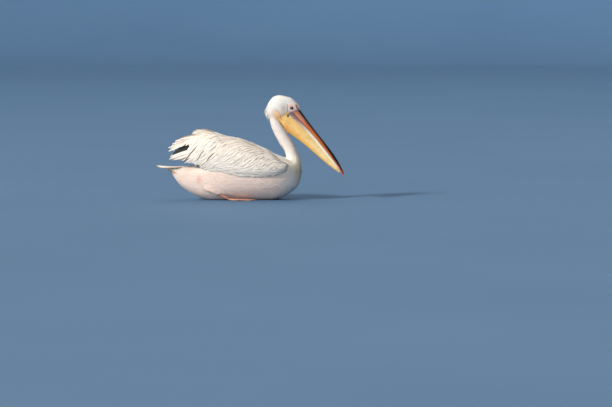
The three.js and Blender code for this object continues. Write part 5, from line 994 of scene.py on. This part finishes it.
def blades(coat, specs, side_, rng, color, thick=1.4, shade=(.72, .4), dl=0.0, twins=0, twin_color=None, away=1):
    C, S, U, H, T, Tip, Root, Col, UVs = [], [], [], [], [], [], [], [], []
    for sp in specs:
        for k in range(1 + twins):
            w = np.array(sp, float); w[[0, 1]] += rng.normal(0, 2, 2)
            if k: w[2] += rng.uniform(14, 34); w[3] += away * abs(rng.normal(0, 5)); w[4] *= rng.uniform(.85, .95)
            q, up = blade_line(w, V16, dl + rng.normal(0, .5) - 2.4 * k)
            tan = unit(np.gradient(q, axis=0)); sd = unit(np.cross(up, tan)); up = unit(np.cross(tan, sd)); L = np.linalg.norm(np.diff(q, axis=0), axis=1).sum()
            tw = rng.normal(0, .06) - .07; sd, up = sd * math.cos(tw) + up * math.sin(tw), up * math.cos(tw) - sd * math.sin(tw)
            C.append(q); S.append(sd); U.append(up); H.append(w[4] * rng.uniform(.94, 1.08) * profile(V16, "point")); T.append(thick * (1 - .6 * V16)); Tip.append(q[-1] + tan[-1] * L * .012); Root.append(q[0] - tan[0] * 2)
            Col.append((twin_color or color)(rng) if k else color(rng)); UVs.append(uv_wing(q[:1, 0], np.maximum(.42, turn_at(np.maximum(-440, q[:1, 0]), q[:1, 2])))[0])
    n = len(C); m = np.array([1, side_, 1.0]); arr = lambda a: np.stack(a)
    notch = np.ones((n, len(V16), 2)); hit = rng.random(notch.shape) < .12; hit[:, :5] = False; notch[hit] = rng.uniform(.62, .88, hit.sum())
    coat.v = V16; coat.add(arr(C) * m, arr(S) * m, arr(U) * m, arr(H), arr(T), np.full((n, len(V16)), .15), arr(Tip) * m, arr(Root) * m, arr(UVs), arr(Col), top=7, bottom=3, ridge=.5, shade=shade, notch=notch, edge=.42)
for side_, name in ((1, "left"), (-1, "right")):
    rb = np.random.default_rng(400 + side_); cream = lambda r: CREAM * (1 + r.normal(0, .02)); shaded_cream = lambda r: srgb(238, 228, 212) * (1 + r.normal(0, .03))
    # the twin under each blade is a darker copy of the blade's cream: painted shade of the feathers above
    blades(coat, LOWER_BLADES, side_, rb, cream, twins=1, twin_color=lambda r: srgb(204, 184, 158) * (1 + r.normal(0, .04)), away=-1); blades(coat, UPPER_BLADES, side_, rb, cream, twins=1, twin_color=shaded_cream)
    # thin dark brown feathers in the slits between the white feathers: dark secondaries showing through, coloured as
    # the slits' painted shadow
    blades(coat, SLITS, side_, rb, lambda r: srgb(146, 126, 102) * (1 + r.normal(0, .06)), thick=.8, shade=(.8, .3))
    coat.piece("coat_blades_" + name, WINGF, "wing_feathers")
    black = lambda r: srgb(18, 16, 17) * (1 + r.normal(0, .12)); blades(coat, PRIMARIES, side_, rb, black, thick=1.4, shade=(.7, .3), twins=0)
    coat.piece("coat_primaries_" + name, DARKF, "flight_feathers", "primaries_" + name)

# ---- tail: a rounded fan of twenty-two feathers, with coverts over its root
def tail_piece():
    rt = np.random.default_rng(500); C, S, U, H, T, Tip, Root, Col, UVs = [], [], [], [], [], [], [], [], []
    for k in range(22):
        a = lerp(-1, 1, (k + .5) / 22); s = V16; tipx = TAIL["tipX"] + 24 * abs(a) ** 2.2 + rt.normal(0, 2.0); x = lerp(-352, tipx + 1, s); y = lerp(34 * a, TAIL["tipHalf"] * a * .93, s ** .9); sf = np.clip((TAIL["rootX"] - x) / (TAIL["rootX"] - TAIL["tipX"]), 0, 1)
        z = TAIL["z"] + TAIL["rise"] * sf ** 2 - (y / 66) ** 2 * 7 * sf + lerp(1.8, .8, s) - 2.6 * abs(a) - .5 * (k % 2); q = np.c_[x, y, z]; up = np.tile([0, 0, 1.0], (len(s), 1)); up[:, 1] = 0.22 * a; up = unit(up)
        tan = unit(np.gradient(q, axis=0)); sd = unit(np.cross(up, tan)); up = unit(np.cross(tan, sd)); C.append(q); S.append(sd); U.append(up); H.append(8.6 * profile(s, "blade")); T.append(1.5 * (1 - .5 * s)); Tip.append(q[-1] + tan[-1] * 1.8); Root.append(q[0] - tan[0] * 2)
        # outer tail feathers ochre-brown: stain, and painted shade of the fan's side
        Col.append((srgb(249, 240, 226) * (1 - .92 * smooth(.80, .97, abs(a))) + srgb(146, 102, 68) * .92 * smooth(.80, .97, abs(a))) * (1 + rt.normal(0, .02))); UVs.append([0.05 + 0.9 * (k + .5) / 22, 0.5])
    arr = np.stack; n = len(C); notch = np.ones((n, 16, 2)); hit = rt.random(notch.shape) < .12; hit[:, :6] = False; notch[hit] = rt.uniform(.62, .86, hit.sum())
    def tint(Cc, a, u, P):
        # brown towards the tips is stain; brown on each vane's underside is painted shade
        w = smooth(0.86, 1.0, a) * .8; under = np.zeros(len(a)); M = 10; idx = np.arange(len(a)); under[(idx % M >= 7) & (idx < 16 * M)] = 1; w = np.maximum(w, under * .9)
        return Cc * (1 - w)[None, :, None] + Cc * np.array([.80, .58, .38]) * w[None, :, None]
    coat.v = V16; coat.add(arr(C), arr(S), arr(U), arr(H), arr(T), np.full((n, 16), .10), arr(Tip), arr(Root), arr(UVs), arr(Col), top=7, bottom=3, ridge=.5, shade=(.8, .3), notch=notch, tint=tint)
    coat.piece("coat_tail", WINGF, "tail_feathers", "tail")
tail_piece()

# ---- the loose crest at the nape
def crest_piece():
    rc = np.random.default_rng(600); C, S, U, H, T, Tip, Root, Col, UVs = [], [], [], [], [], [], [], [], []; V = np.array([.04, .18, .34, .5, .66, .8, .9, .97])
    for k in range(46):
        t = rc.random(); z0 = lerp(452, 500, t) + rc.normal(0, 3); y0 = rc.normal(0, 8); x0 = lerp(94, 92, t); tip = np.array([lerp(93, 79, t) + rc.normal(0, 3.5), y0 * 1.1 + rc.normal(0, 2), lerp(408, 446, t) + rc.normal(0, 6)])
        p, n_ = on_skin(np.array([[x0, y0, z0]])); p, n_ = p[0], n_[0]; mid = (p + tip) / 2 + n_ * rc.uniform(4, 8) + np.array([-2, 0, 5.0]); v = V[:, None]
        q = p * (1 - v) ** 2 + 2 * mid * v * (1 - v) + tip * v ** 2; tan = unit(np.gradient(q, axis=0)); sd = unit(np.cross(np.tile(n_, (len(V), 1)), tan)); up = unit(np.cross(tan, sd))
        C.append(q); S.append(sd); U.append(up); H.append(rc.uniform(1.4, 2.3) * profile(V, "lance")); T.append(.8 * (1 - .5 * V)); Tip.append(tip + tan[-1] * 1.2); Root.append(p - n_ * .5); Col.append(srgb(250, 246, 236) * (1 + rc.normal(0, .02))); UVs.append(uv_head(p[None])[0])
    arr = np.stack; n = len(C); coat.v = V; coat.add(arr(C), arr(S), arr(U), arr(H), arr(T), np.full((n, len(V)), .2), arr(Tip), arr(Root), arr(UVs), arr(Col), top=3, bottom=1, shade=(.9, .4))
    coat.piece("coat_crest", PLUMAGE, "plumage", "crest")
crest_piece()
